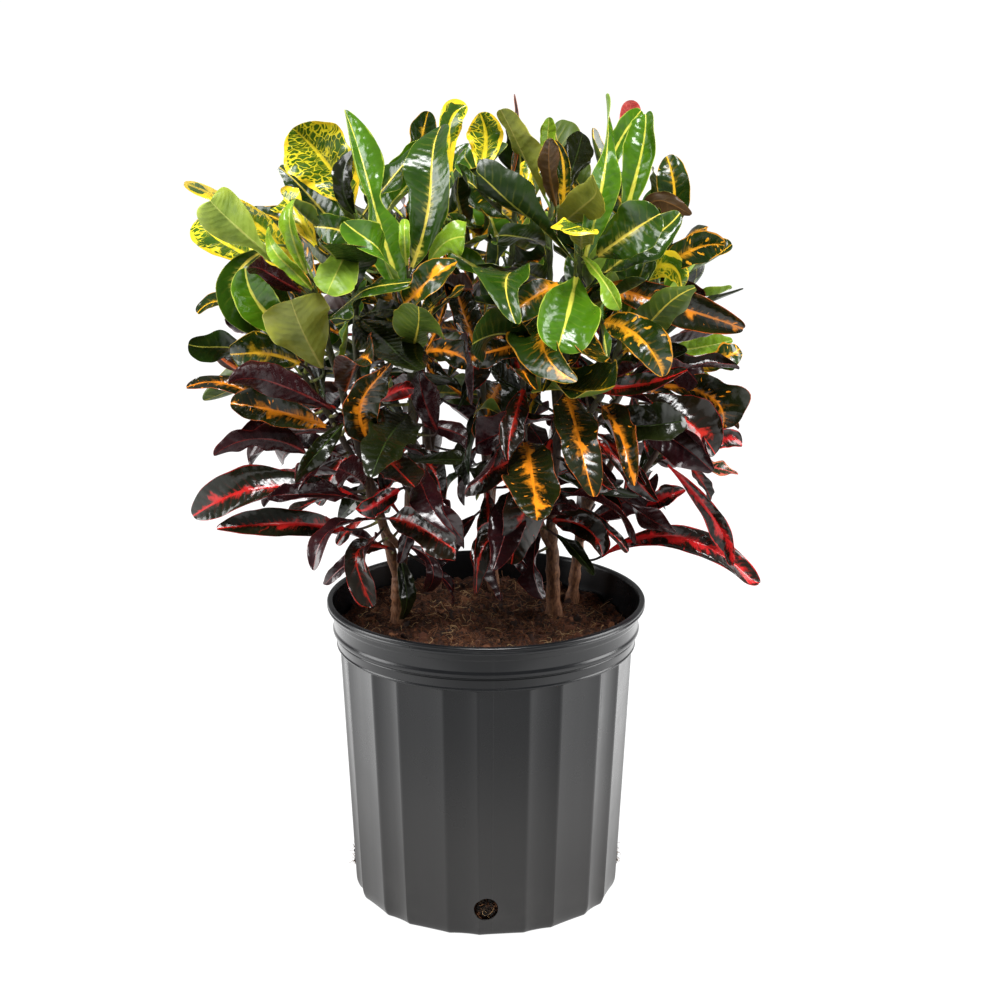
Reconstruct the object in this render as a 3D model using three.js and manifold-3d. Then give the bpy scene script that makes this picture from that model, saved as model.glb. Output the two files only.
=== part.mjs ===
// A potted croton: five rooted cuttings with curled, twisted leaves in a fluted ten-inch nursery pot.
// Millimetres, +Z up. The origin is the middle of the pot's flat underside, and the front is towards -Y.

import * as THREE from "three";
import Module from "manifold-3d";

const wasm = await Module();
wasm.setup();

// Driving dimensions of the pot
const POT_HEIGHT = 248;
const RIM_RADIUS = 127;
const WALL = 1.6;
const FLUTE_PAIRS = 11;
const WIDE_FLUTE_SHARE = 0.6;
const FLUTE_DEPTH = 2.6;
const FLUTE_TURN = -3;
const DRAIN_RADIUS = 9.5;
const DRAIN_HEIGHT = 25;
const DRAIN_COUNT = 4;

// Driving dimensions of the soil and of what is rooted in it
const GAP = 0.3;
const SOIL_TOP = 222;
const SOIL_RINGS = [0.99, 0.75, 0.5, 0.25];
const ROOTED_TO = 150;
const HOLE_GAP = 0.35;

// Leaf proportions
const WIDTH_SHARE = [0.19, 0.24];
const OUTLINE_RISE = 0.8;
const OUTLINE_FALL = 0.42;
const PETIOLE_RADIUS = 1.3;
const RIB_AT_TIP = 0.55;
const PLACED_STATIONS = [0.14, 0.4, 0.67, 0.9];
const GROWN_STATIONS = [0.17, 0.52, 0.86];
const CROWDED = 13;
const STALK_DROP = 10;
const STALK_SPACING = 5.5;
const STEM_END = 0.985;
const PLACED_WAVE = [0.08, 0.22];
const WAVES = [1.2, 2.2];
const LEANS = [0, 4, -4, 8, -8, 12, -12, 16, -16, 20, -20, 25, -25];
const VIEW_AXIS = [0, 0.962, -0.272];
const SEED = 4127;

// How leaves grow by rule: a pair goes from the oldest leaf of a shoot to the youngest, or from the least
// to the most that a draw gives, and a spread is the whole width of a draw. Angles are in degrees.
const GOLDEN_ANGLE = 137.508;
const TURN_SPREAD = 200;
const HEIGHT_SPREAD = 0.08;
const LEAN = [98, 26];
const LEAN_SPREAD = 46;
const BLADE_LENGTH = [96, 112];
const LENGTH_SHARE = [0.82, 1.12];
const YOUNGEST_SHORTER = 24;
const STALK_LENGTH = [12, 20];
const DROOP = 0.75;
const DROOP_SPREAD = 0.7;
const ROLL_SPREAD = 50;
const TWIST_SPREAD = 190;
const CURL = [-0.5, 0.9];
const GROWN_WAVE = [0.1, 0.32];

// How the clearest way for a leaf is chosen
const CANDIDATES = 50;
const SAMPLES_ALONG = [0.12, 0.32, 0.52, 0.72, 0.94];
const SAMPLES_ACROSS = [-0.9, -0.3, 0.3, 0.9];
const CLEARANCE = 6.5;
const NEIGHBOUR_REACH = 20;
const WALL_WEIGHT = 0.12;
const DOME_WEIGHT = 12;
const LOW_WEIGHT = 0.1;
const LOWEST_OVER_SOIL = 240;
const LOWEST_OUTSIDE = 275;

// How far leaves are lifted over the soil, out to the inside of the rim, and over the rim
const RIM_INSIDE = 112;
const OVER_SOIL = 4;
const OVER_RIM = 5;
const LIFT_MARGIN = 10;

// Each cutting keeps to its own cell of the crown: the cells meet halfway between these plan points
const CELL_SITES = {
  left: [-88, 5],
  back: [0, 60],
  centre: [72, -15],
  right: [105, 70],
  back_left: [-60, 100],
};
const CELL_GAP = 0.4;
const CELL_MARGIN = 5;

// The crown's outline as a dome, which the leaves placed by rule keep within
const CROWN_CENTRE = [-12, 22, 440];
const CROWN_REACH = [205, 170, 195];

// Where each cutting is rooted, in plan
const ROOTED_AT = {
  left: [-69, 8],
  back: [8, 92],
  centre: [56, 29],
  right: [68, 62],
  back_left: [-40, 80],
};

// Stems: name, the stem it grows from, where on it, its bend, its end, its two radii,
// how many leaves grow on it by rule, where along it they begin and their size
const STEMS = {
  left: [
    ["trunk", "soil", 0, [-70, 7, 240], [-70, 5, 262], 6.2, 5.8, 0, 0, 1],
    ["a1", "trunk", 0.96, [-98, -4, 370], [-134, -20, 502], 4.6, 2.4, 8, 0.3, 1],
    ["a2", "trunk", 0.96, [-48, -12, 370], [-63, -30, 500], 4.6, 2.4, 8, 0.28, 1],
    ["a3", "a1", 0.28, [-108, -12, 376], [-140, -26, 436], 3.2, 2.2, 4, 0.45, 0.95],
    ["a4", "a1", 0.45, [-104, 20, 450], [-100, 4, 548], 3.2, 2.2, 9, 0.25, 1],
    ["a5", "a2", 0.12, [-82, -28, 306], [-95, -36, 356], 3, 2.2, 3, 0.45, 0.85],
  ],
  back: [
    ["trunk", "soil", 0, [6, 90, 260], [0, 84, 340], 4.8, 4, 0, 0, 1],
    ["b1", "trunk", 0.98, [-8, 80, 450], [-18, 56, 556], 3.8, 2.4, 10, 0.15, 1],
    ["b2", "trunk", 0.7, [20, 112, 410], [26, 122, 528], 3.4, 2.2, 10, 0.3, 1],
    ["b3", "b1", 0.35, [22, 52, 480], [22, 34, 552], 2.8, 2.2, 7, 0.2, 1],
    ["b4", "trunk", 0.62, [0, 44, 330], [-4, 12, 462], 3.2, 2.2, 12, 0.2, 1],
  ],
  centre: [
    ["trunk", "soil", 0, [55, 28, 250], [52, 22, 300], 5.8, 5, 0, 0, 1],
    ["c1", "trunk", 0.97, [54, 0, 410], [75, -16, 540], 4.2, 2.4, 8, 0.22, 1],
    ["c2", "trunk", 0.8, [22, 8, 350], [30, -28, 446], 3.6, 2.2, 6, 0.25, 0.95],
    ["c3", "c1", 0.3, [92, -12, 400], [104, -28, 470], 3.2, 2.2, 6, 0.25, 1],
    ["c4", "c1", 0.4, [46, -2, 470], [50, 6, 566], 3, 2.2, 7, 0.3, 0.95],
  ],
  right: [
    ["trunk", "soil", 0, [70, 62, 250], [82, 62, 306], 4.8, 4.4, 0, 0, 1],
    ["d1", "trunk", 0.97, [130, 26, 390], [134, 20, 528], 3.8, 2.3, 9, 0.25, 1],
    ["d2", "trunk", 0.97, [92, 72, 440], [106, 58, 556], 3.8, 2.3, 11, 0.3, 1],
    ["d3", "d2", 0.25, [130, 96, 400], [132, 104, 496], 3.2, 2.2, 10, 0.3, 1],
    ["d4", "trunk", 0.75, [106, 36, 300], [142, 8, 378], 3, 2.2, 3, 0.35, 0.9],
  ],
  back_left: [
    ["trunk", "soil", 0, [-42, 82, 260], [-48, 86, 340], 4.6, 4, 0, 0, 1],
    ["e1", "trunk", 0.98, [-54, 92, 450], [-60, 80, 556], 3.6, 2.3, 12, 0.2, 1],
    ["e2", "trunk", 0.8, [-84, 114, 400], [-104, 112, 478], 3.2, 2.2, 9, 0.3, 1],
    ["e3", "trunk", 0.9, [-40, 124, 420], [-44, 134, 500], 3, 2.2, 8, 0.3, 1],
  ],
};

// The way a leaf's upper face looks
const FRONT = [0, -1, 0.3];
const BACK = [0, 1, -0.3];
const UPFRONT = [0, -0.6, 0.8];
const LEFT = [-0.8, -0.5, 0.2];

// Leaves placed one by one: the blade's start, middle and tip, half its width, the way it faces,
// its turn in degrees at the start and at the tip, and how far its halves curl up
const PLACED = {
  left: [
    [[-103, 22, 558], [-123, 16, 593], [-149, 8, 624], 27, FRONT, 0, 15, 0.35],
    [[-63, -30, 499], [-83, -46, 566], [-100, -34, 643], 19, FRONT, 5, -55, 0.5],
    [[-56, -36, 519], [-41, -52, 580], [-47, -34, 631], 20, FRONT, 10, 35, 0.5],
    [[-43, -42, 524], [-25, -58, 547], [1, -66, 545], 15, FRONT, -10, 25, -0.5],
    [[-59, -40, 520], [-60, -44, 537], [-60, -42, 555], 4.5, FRONT, 0, 0, 0.4],
    [[-61, -45, 492], [-47, -62, 507], [-29, -70, 529], 13, FRONT, 0, 20, 0.4],
    [[-143, -22, 516], [-180, -34, 559], [-226, -30, 587], 12, FRONT, 0, 30, 0.4],
    [[-155, -32, 521], [-186, -64, 557], [-203, -84, 580], 18, BACK, 0, 0, 0.4],
    [[-153, -12, 513], [-199, 0, 532], [-226, 8, 553], 15, FRONT, -20, 10, 0.5],
    [[-164, -30, 534], [-191, -48, 510], [-173, -52, 473], 13, FRONT, 0, -20, 0.5],
    [[-148, -44, 473], [-171, -62, 498], [-180, -66, 526], 17, FRONT, 10, -10, 0.5],
    [[-139, -40, 501], [-159, -62, 518], [-176, -74, 533], 9, BACK, 0, 20, 0.6],
    [[-101, -24, 535], [-108, -50, 520], [-117, -62, 502], 17, BACK, 0, -15, 0.4],
    [[-83, -24, 520], [-105, -40, 548], [-130, -46, 551], 13, FRONT, 0, 20, 0.4],
    [[-100, -6, 555], [-109, -12, 582], [-98, -10, 604], 10, FRONT, 0, 10, 0.3],
    [[-135, -26, 512], [-145, -36, 543], [-148, -36, 571], 8, FRONT, 0, 20, 0.5],
    [[-130, -8, 531], [-148, -4, 561], [-158, 0, 568], 13, FRONT, 0, 10, 0.4],
    [[-131, -34, 502], [-150, -52, 526], [-166, -60, 543], 7, FRONT, 0, 30, 0.6],
    [[-124, -48, 445], [-136, -76, 478], [-144, -88, 506], 26, BACK, 0, 0, 0.3],
    [[-170, -20, 468], [-198, -24, 492], [-220, -26, 484], 10, UPFRONT, 0, 20, 0.4],
    [[-181, -16, 466], [-192, -20, 474], [-202, -22, 481], 6, BACK, 0, 0, 0.4],
    [[-141, -44, 447], [-167, -68, 461], [-191, -78, 460], 17, FRONT, -10, 20, 0.5],
    [[-187, -10, 433], [-209, -14, 450], [-213, -12, 468], 6, BACK, 0, 20, 0.5],
    [[-164, -30, 408], [-198, -40, 431], [-231, -44, 430], 9, UPFRONT, 0, 20, 0.4],
    [[-118, -40, 411], [-155, -60, 434], [-191, -70, 446], 14, BACK, 0, 30, 0.4],
    [[-122, -44, 398], [-156, -66, 415], [-193, -76, 425], 14, FRONT, 0, -20, 0.4],
    [[-139, -50, 379], [-168, -72, 396], [-208, -80, 392], 12, BACK, 0, 50, 0.5],
    [[-108, -44, 400], [-126, -58, 381], [-143, -60, 362], 10, FRONT, 0, 30, 0.4],
    [[-103, -40, 342], [-170, -66, 356], [-229, -78, 338], 16, UPFRONT, -10, 25, 0.5],
    [[-110, -34, 313], [-158, -60, 325], [-207, -70, 322], 13, FRONT, 0, -30, 0.5],
    [[-112, -24, 339], [-151, -36, 357], [-189, -40, 362], 8, FRONT, 20, 40, 0.5],
    [[-97, -20, 317], [-108, -28, 311], [-118, -32, 300], 5, FRONT, 0, 20, 0.4],
    [[-87, -40, 382], [-93, -62, 420], [-66, -66, 446], 18, FRONT, 0, -30, 0.5],
    [[-83, -34, 415], [-67, -52, 427], [-54, -58, 431], 7, BACK, 0, 20, 0.5],
    [[-38, -30, 392], [-47, -44, 419], [-51, -46, 444], 13, BACK, 0, 20, 0.5],
    [[-46, -34, 454], [-29, -54, 460], [-8, -58, 451], 13, FRONT, 0, 20, 0.4],
    [[-48, -30, 396], [-24, -44, 394], [-2, -48, 382], 9, BACK, 0, -20, 0.5],
    [[-77, -10, 291], [-100, -28, 291], [-86, -32, 255], 12, FRONT, 0, -20, 0.5],
    [[-51, -24, 346], [-33, -32, 325], [-14, -30, 297], 8, FRONT, 0, 30, 0.5],
    [[-67, -22, 342], [-82, -34, 335], [-96, -40, 326], 9, FRONT, 0, 30, 0.5],
    [[-58, -12, 334], [-60, -20, 308], [-69, -22, 284], 7, FRONT, 20, 50, 0.5],
    [[-62, -4, 291], [-43, -14, 280], [-43, -16, 253], 8, FRONT, 0, 30, 0.5],
  ],
  back: [
    [[24, 46, 545], [2, 24, 569], [-18, 18, 585], 17, FRONT, 0, 15, 0.3],
    [[-6, 60, 578], [0, 58, 605], [-5, 52, 629], 15, FRONT, 0, 10, 0.3],
    [[-27, 56, 578], [-29, 58, 612], [-17, 56, 632], 11, FRONT, 0, 20, 0.4],
    [[17, 40, 568], [25, 34, 602], [22, 38, 638], 8, LEFT, 20, 50, 0.5],
    [[27, 60, 556], [35, 62, 579], [38, 62, 593], 9, FRONT, 0, 20, 0.4],
    [[-48, 50, 557], [-55, 50, 579], [-61, 50, 589], 11, FRONT, 0, 20, 0.4],
  ],
  centre: [
    [[48, 26, 584], [47, 26, 605], [48, 24, 623], 7, FRONT, 0, 0, 0.4],
    [[53, 4, 558], [47, -8, 587], [47, -16, 610], 10, BACK, 0, 0, 0.4],
    [[58, 4, 552], [59, 0, 586], [54, 4, 608], 6, FRONT, 0, 20, 0.4],
    [[62, 20, 568], [69, 24, 593], [79, 24, 614], 12, FRONT, 0, 0, 0.4],
    [[74, -22, 521], [88, -44, 592], [93, -28, 652], 17, FRONT, 0, -60, 0.6],
    [[103, -18, 548], [116, -30, 601], [122, -20, 635], 14, FRONT, 0, 35, 0.5],
    [[91, 0, 572], [100, -4, 609], [120, 0, 631], 10, FRONT, 0, 20, 0.5],
    [[84, -30, 527], [108, -58, 551], [129, -66, 566], 20, FRONT, -10, 10, 0.4],
    [[72, -30, 526], [87, -54, 510], [98, -64, 490], 8, FRONT, 0, -60, 0.5],
    [[68, -28, 510], [60, -64, 486], [52, -82, 464], 23, FRONT, 0, 5, 0.3],
    [[55, -20, 504], [33, -44, 496], [11, -52, 481], 14, FRONT, 0, 10, 0.4],
    [[89, -40, 478], [114, -72, 471], [132, -80, 444], 15, FRONT, 0, 20, 0.4],
    [[89, -28, 505], [139, -60, 497], [192, -50, 480], 15, FRONT, 10, -20, 0.4],
    [[37, -24, 461], [11, -44, 458], [-14, -50, 454], 14, FRONT, 0, 20, 0.4],
    [[17, -20, 456], [-2, -30, 472], [-5, -36, 448], 6, FRONT, 0, 40, 0.5],
    [[29, -24, 422], [20, -44, 398], [14, -50, 376], 12, FRONT, 0, 20, 0.5],
    [[59, -24, 390], [75, -52, 370], [96, -60, 344], 12, FRONT, 0, -20, 0.4],
    [[76, -20, 424], [111, -46, 429], [150, -50, 440], 10, FRONT, 0, 20, 0.4],
    [[91, -30, 396], [123, -58, 402], [150, -66, 410], 16, FRONT, 0, 15, 0.4],
    [[32, 14, 282], [2, -6, 296], [-6, -14, 257], 11, UPFRONT, 0, -30, 0.5],
    [[43, 14, 305], [55, -2, 324], [67, -10, 320], 10, BACK, 0, 20, 0.5],
    [[53, 12, 307], [78, -16, 309], [94, -26, 289], 12, FRONT, 0, 20, 0.5],
  ],
  right: [
    [[110, 46, 597], [112, 46, 618], [113, 46, 638], 9, FRONT, 0, 0, 0.4],
    [[141, 24, 536], [146, 12, 571], [139, 18, 600], 14, FRONT, 0, 20, 0.4],
    [[118, 10, 552], [133, -8, 568], [151, -14, 556], 9, BACK, 0, 20, 0.5],
    [[131, 12, 505], [158, 2, 526], [182, -2, 532], 13, FRONT, 10, -20, 0.4],
    [[113, 2, 496], [134, -18, 518], [156, -26, 506], 13, FRONT, 0, 20, 0.4],
    [[141, 26, 442], [169, 16, 448], [195, 14, 455], 8, FRONT, 0, 20, 0.4],
    [[162, 36, 426], [180, 28, 432], [197, 26, 442], 11, FRONT, 0, 0, 0.4],
    [[139, 10, 446], [153, -12, 438], [168, -20, 424], 14, BACK, 0, 10, 0.4],
    [[139, 4, 419], [174, -24, 417], [192, -32, 391], 19, FRONT, 0, 20, 0.4],
    [[140, 8, 359], [175, -8, 377], [204, -12, 382], 9, FRONT, 0, 30, 0.5],
    [[162, 16, 359], [182, 8, 352], [201, 4, 351], 8, FRONT, 0, 20, 0.4],
    [[143, 2, 356], [178, -22, 321], [200, -30, 285], 10, FRONT, 20, -60, 0.6],
    [[161, 6, 357], [168, -14, 343], [175, -18, 330], 8, FRONT, 0, 20, 0.5],
    [[94, 44, 267], [156, 10, 293], [218, -4, 254], 13, FRONT, -15, 25, 0.5],
    [[84, 40, 299], [111, 20, 320], [137, 14, 338], 13, BACK, 0, 30, 0.5],
    [[123, 20, 317], [139, 4, 326], [156, 0, 339], 9, FRONT, 0, 30, 0.5],
  ],
  back_left: [],
};

// Vectors as plain triples
const add = (a, b) => [a[0] + b[0], a[1] + b[1], a[2] + b[2]];
const sub = (a, b) => [a[0] - b[0], a[1] - b[1], a[2] - b[2]];
const mul = (a, s) => [a[0] * s, a[1] * s, a[2] * s];
const dot = (a, b) => a[0] * b[0] + a[1] * b[1] + a[2] * b[2];
const cross = (a, b) => [a[1] * b[2] - a[2] * b[1], a[2] * b[0] - a[0] * b[2], a[0] * b[1] - a[1] * b[0]];
const length = (a) => Math.hypot(a[0], a[1], a[2]);
const unit = (a) => mul(a, 1 / length(a));
const mix = (a, b, t) => a + (b - a) * t;
const between = ([from, to], t) => mix(from, to, t);
const across = (a, axis) => unit(sub(a, mul(axis, dot(a, axis))));
const radians = (degrees) => (degrees * Math.PI) / 180;

// A quadratic Bezier curve and its direction
function curvePoint([a, b, c], t) {
  const ends = add(mul(a, (1 - t) * (1 - t)), mul(c, t * t));
  return add(ends, mul(b, 2 * t * (1 - t)));
}

const curveDirection = ([a, b, c], t) => unit(add(mul(sub(b, a), 1 - t), mul(sub(c, b), t)));

// Seeded numbers from 0 to 1
function seededNumbers(seed) {
  let state = seed >>> 0;
  return () => {
    state = (state + 0x6d2b79f5) >>> 0;
    let t = state;
    t = Math.imul(t ^ (t >>> 15), t | 1);
    t ^= t + Math.imul(t ^ (t >>> 7), t | 61);
    return ((t ^ (t >>> 14)) >>> 0) / 4294967296;
  };
}

// Closed solids from rings of vertices. The first "turned" faces round a ring are split along their other
// diagonal, which gives a blade's two faces the same split.
function ringSolid(rings, foot, head, turned = 0) {
  const count = rings[0].length;
  const vertices = rings.flat();
  const triangles = [];
  for (let r = 0; r + 1 < rings.length; r++) {
    for (let i = 0; i < count; i++) {
      const a = r * count + i;
      const b = r * count + ((i + 1) % count);
      if (i < turned) {
        triangles.push([a, b, a + count], [b, b + count, a + count]);
      } else {
        triangles.push([a, b, b + count], [a, b + count, a + count]);
      }
    }
  }
  const last = (rings.length - 1) * count;
  const footIndex = vertices.push(foot) - 1;
  const headIndex = vertices.push(head) - 1;
  for (let i = 0; i < count; i++) {
    const next = (i + 1) % count;
    triangles.push([footIndex, next, i], [headIndex, last + i, last + next]);
  }
  return toManifold(vertices, triangles);
}

function toManifold(vertices, triangles) {
  const mesh = new wasm.Mesh({
    numProp: 3,
    vertProperties: Float32Array.from(vertices.flat()),
    triVerts: Uint32Array.from(triangles.flat()),
  });
  return new wasm.Manifold(mesh);
}

function toMesh(name, solid, material) {
  const { vertProperties, triVerts } = solid.getMesh();
  const geometry = new THREE.BufferGeometry();
  geometry.setAttribute("position", new THREE.BufferAttribute(vertProperties, 3));
  geometry.setIndex(new THREE.BufferAttribute(triVerts, 1));
  geometry.computeVertexNormals();
  const mesh = new THREE.Mesh(geometry, material);
  mesh.name = name;
  return mesh;
}

// Pot: angles round the wall, at each ridge between flutes and in the middle of each flute
function fluteStations() {
  const period = 360 / FLUTE_PAIRS;
  const stations = [];
  for (let pair = 0; pair < FLUTE_PAIRS; pair++) {
    const start = FLUTE_TURN + pair * period;
    const widths = [period * WIDE_FLUTE_SHARE, period * (1 - WIDE_FLUTE_SHARE)];
    const starts = [start, start + widths[0]];
    for (let f = 0; f < 2; f++) {
      for (const [share, depth] of [[0, 0], [0.5, 1]]) {
        stations.push({ angle: radians(starts[f] + widths[f] * share - 90), depth });
      }
    }
  }
  return stations;
}

const STATIONS = fluteStations();

// A ring at one height: fluted is 1 where the flutes are at full depth and 0 where the wall is round
function wallRing(radius, z, fluted) {
  return STATIONS.map(({ angle, depth }) => {
    const r = radius - depth * fluted * FLUTE_DEPTH;
    return [r * Math.cos(angle), r * Math.sin(angle), z];
  });
}

// The wall's outer radius at the foot and under the band, between which it tapers straight
const FOOT_RADIUS = 107;
const FLUTE_TOP_RADIUS = 117.2;
const FLUTE_FOOT_Z = 8;
const FLUTE_TOP_Z = 209;

function potOuterRings() {
  return [
    wallRing(99, 0, 0.5),
    wallRing(104, 1.8, 0.8),
    wallRing(FOOT_RADIUS, FLUTE_FOOT_Z, 1),
    wallRing(FLUTE_TOP_RADIUS, FLUTE_TOP_Z, 1),
    wallRing(118.8, 210.5, 0),
    wallRing(120.4, 221, 0),
    wallRing(122.3, 223, 0),
    wallRing(121.3, 227, 0),
    wallRing(122.8, 241.6, 0),
    wallRing(RIM_RADIUS, 244, 0),
    wallRing(RIM_RADIUS - 0.2, 246.8, 0),
    wallRing(RIM_RADIUS - 2.4, POT_HEIGHT, 0),
  ];
}

function potInnerRings(shrink) {
  return [
    wallRing(RIM_RADIUS - 4.6 - shrink, 246.4, 0),
    wallRing(119.7 - shrink, 228, 0),
    wallRing(117.1 - shrink, 212.2 + shrink, 0),
    wallRing(FLUTE_TOP_RADIUS - WALL - shrink, FLUTE_TOP_Z + 1 + shrink, 1),
    wallRing(FOOT_RADIUS - WALL - shrink, FLUTE_FOOT_Z + 1, 1),
    wallRing(101.5 - shrink, WALL + 1 + shrink, 0.8),
  ];
}

function makePot() {
  const rings = [...potOuterRings(), ...potInnerRings(0)];
  let pot = ringSolid(rings, [0, 0, 0], [0, 0, WALL + 1]);
  for (let i = 0; i < DRAIN_COUNT; i++) {
    pot = pot.subtract(drainCutter(-90 + (360 / DRAIN_COUNT) * i));
  }
  return pot;
}

function drainCutter(bearing) {
  const out = [Math.cos(radians(bearing)), Math.sin(radians(bearing)), 0];
  const side = [-out[1], out[0], 0];
  const circle = (reach) =>
    Array.from({ length: 12 }, (_, i) => {
      const turn = (i / 12) * 2 * Math.PI;
      const at = add(mul(out, reach), mul(side, DRAIN_RADIUS * Math.cos(turn)));
      return add(at, [0, 0, DRAIN_HEIGHT + DRAIN_RADIUS * Math.sin(turn)]);
    });
  const [from, to] = [90, 125];
  const centre = (reach) => add(mul(out, reach), [0, 0, DRAIN_HEIGHT]);
  return ringSolid([circle(from), circle(to)], centre(from), centre(to));
}

// Soil: its lumpy top lies about 25 mm below the rim and rises a little towards the back left
function soilHeight(x, y) {
  const slope = -0.028 * x + 0.03 * y;
  const broad = 1.9 * Math.sin(x * 0.11 + 1.3) * Math.cos(y * 0.13 - 0.4);
  const small = 1.3 * Math.sin(x * 0.23 - y * 0.19);
  return SOIL_TOP + slope + broad + small;
}

function makeSoil(holes) {
  const wall = potInnerRings(GAP);
  const [, , bandRing, topRing, footRing, baseRing] = wall;
  const edge = SOIL_RINGS.map((share) =>
    bandRing.map(([x, y]) => [x * share, y * share, soilHeight(x * share, y * share)]));
  let soil = ringSolid([baseRing, footRing, topRing, bandRing, ...edge],
    [0, 0, WALL + 1 + GAP], [0, 0, soilHeight(0, 0)], STATIONS.length);
  holes.forEach((hole) => {
    soil = soil.subtract(hole);
  });
  return soil;
}

// A tapering round bar through a list of points
function tube(points, radii, sides) {
  const rings = [];
  let side = [1, 0, 0];
  points.forEach((point, i) => {
    const before = points[Math.max(i - 1, 0)];
    const after = points[Math.min(i + 1, points.length - 1)];
    const along = unit(sub(after, before));
    side = across(side, along);
    const other = cross(along, side);
    rings.push(Array.from({ length: sides }, (_, k) => {
      const turn = (k / sides) * 2 * Math.PI;
      const out = add(mul(side, Math.cos(turn)), mul(other, Math.sin(turn)));
      return add(point, mul(out, radii[i]));
    }));
  });
  return ringSolid(rings, points[0], points[points.length - 1]);
}

// Stems: each one's curve starts on its parent or in the soil
function stemCurves(plant) {
  const stems = {};
  for (const [name, on, at, bend, end, thick, thin, leaves, low, size] of STEMS[plant]) {
    const rooted = on === "soil";
    const start = rooted ? [...ROOTED_AT[plant], ROOTED_TO] : curvePoint(stems[on].curve, at);
    stems[name] = { curve: [start, bend, end], radii: [thick, thin], rooted, leaves, low, size };
  }
  return stems;
}

function stemSolid(stem, spare = 0) {
  const steps = stem.rooted ? 2 : 4;
  const points = [];
  const radii = [];
  for (let i = 0; i <= steps; i++) {
    const drop = i === 0 ? spare : 0;
    points.push(add(curvePoint(stem.curve, i / steps), [0, 0, -drop]));
    radii.push(between(stem.radii, i / steps) + spare);
  }
  return tube(points, radii, stem.rooted ? 6 : 4);
}

// Leaf outline: half width at u as a share of the widest, u running from the blade's base to its tip
function outline(u) {
  const widest = OUTLINE_RISE / (OUTLINE_RISE + OUTLINE_FALL);
  return Math.pow(u / widest, OUTLINE_RISE) * Math.pow((1 - u) / (1 - widest), OUTLINE_FALL);
}

// A leaf's axes at u: the midrib's point, the direction across the blade and the upper face's normal
function leafAxes(leaf, u) {
  const along = curveDirection(leaf.rib, u);
  const flat = across(leaf.face, along);
  const level = cross(along, flat);
  const roll = between(leaf.roll, u);
  const side = add(mul(level, Math.cos(roll)), mul(flat, Math.sin(roll)));
  return { point: curvePoint(leaf.rib, u), side, normal: cross(side, along) };
}

// A point of the blade's middle surface: v runs from -1 to 1 across it
function bladePoint(leaf, u, v) {
  const { point, side, normal } = leafAxes(leaf, u);
  const half = Math.max(leaf.halfWidth * outline(u), PETIOLE_RADIUS);
  const bow = leaf.curl * v;
  const reach = Math.abs(leaf.curl) < 1e-6 ? v : Math.sin(bow) / leaf.curl;
  const rise = Math.abs(leaf.curl) < 1e-6 ? 0 : (1 - Math.cos(bow)) / leaf.curl;
  const ripple = leaf.wave * v * v * Math.sin(2 * Math.PI * (leaf.waves * u + leaf.phase + 0.21 * v));
  return add(point, add(mul(side, half * reach), mul(normal, half * (rise + ripple))));
}

// Blade and stalk as one thin closed solid, four corners to a section, split alike on both faces
function leafSolid(leaf, keep) {
  const rings = [stalkRoot(leaf)];
  for (const u of leaf.stations) {
    const { point, normal } = leafAxes(leaf, u);
    const rib = mix(PETIOLE_RADIUS, RIB_AT_TIP, u);
    rings.push([bladePoint(leaf, u, 1), sub(point, mul(normal, rib)),
      bladePoint(leaf, u, -1), add(point, mul(normal, rib))]);
  }
  const tip = leaf.rib[2];
  const kept = rings.map((ring) => ring.map(keep));
  return ringSolid(kept, leaf.root, keep(tip), 2);
}

function stalkRoot(leaf) {
  const along = unit(sub(leaf.rib[0], leaf.root));
  const flat = across(leaf.face, along);
  const level = cross(along, flat);
  return [level, mul(flat, -1), mul(level, -1), flat]
    .map((out) => add(leaf.root, mul(out, PETIOLE_RADIUS * 0.9)));
}

// Sample points that stand for a leaf when its clearance from others is judged
function samplePoints(leaf) {
  const points = [leaf.rib[0], mul(add(leaf.root, leaf.rib[0]), 0.5)];
  for (const u of SAMPLES_ALONG) {
    for (const v of SAMPLES_ACROSS) {
      points.push(bladePoint(leaf, u, v));
    }
  }
  return points;
}

// Cells: how far a point lies inside its plant's cell, past each neighbour's wall
function cellWalls(plant) {
  const [sx, sy] = CELL_SITES[plant];
  return Object.entries(CELL_SITES).filter(([name]) => name !== plant).map(([, [ox, oy]]) => {
    const size = Math.hypot(ox - sx, oy - sy);
    const normal = [(ox - sx) / size, (oy - sy) / size, 0];
    const middle = [(ox + sx) / 2, (oy + sy) / 2, 0];
    return { normal, reach: dot(normal, middle) - CELL_GAP };
  });
}

// A distance from a limit, kept above nothing: below the margin it shrinks more and more slowly
function softened(distance, margin) {
  return distance < margin ? (margin * margin) / (2 * margin - distance) : distance;
}

// Bends a point that comes near a cell's wall back inside it, the more the further out it is
function keeper(walls) {
  return (point) => {
    let kept = point;
    for (let pass = 0; pass < 2; pass++) {
      for (const { normal, reach } of walls) {
        const inside = reach - dot(normal, kept);
        kept = sub(kept, mul(normal, softened(inside, CELL_MARGIN) - inside));
      }
    }
    return aboveSoil(kept);
  };
}

// Lifts a low point clear of the soil and of the pot's rim
function aboveSoil([x, y, z]) {
  const radius = Math.hypot(x, y);
  const floor = radius < RIM_INSIDE ? soilHeight(x, y) + OVER_SOIL : POT_HEIGHT + OVER_RIM;
  return [x, y, floor + softened(z - floor, LIFT_MARGIN)];
}

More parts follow.
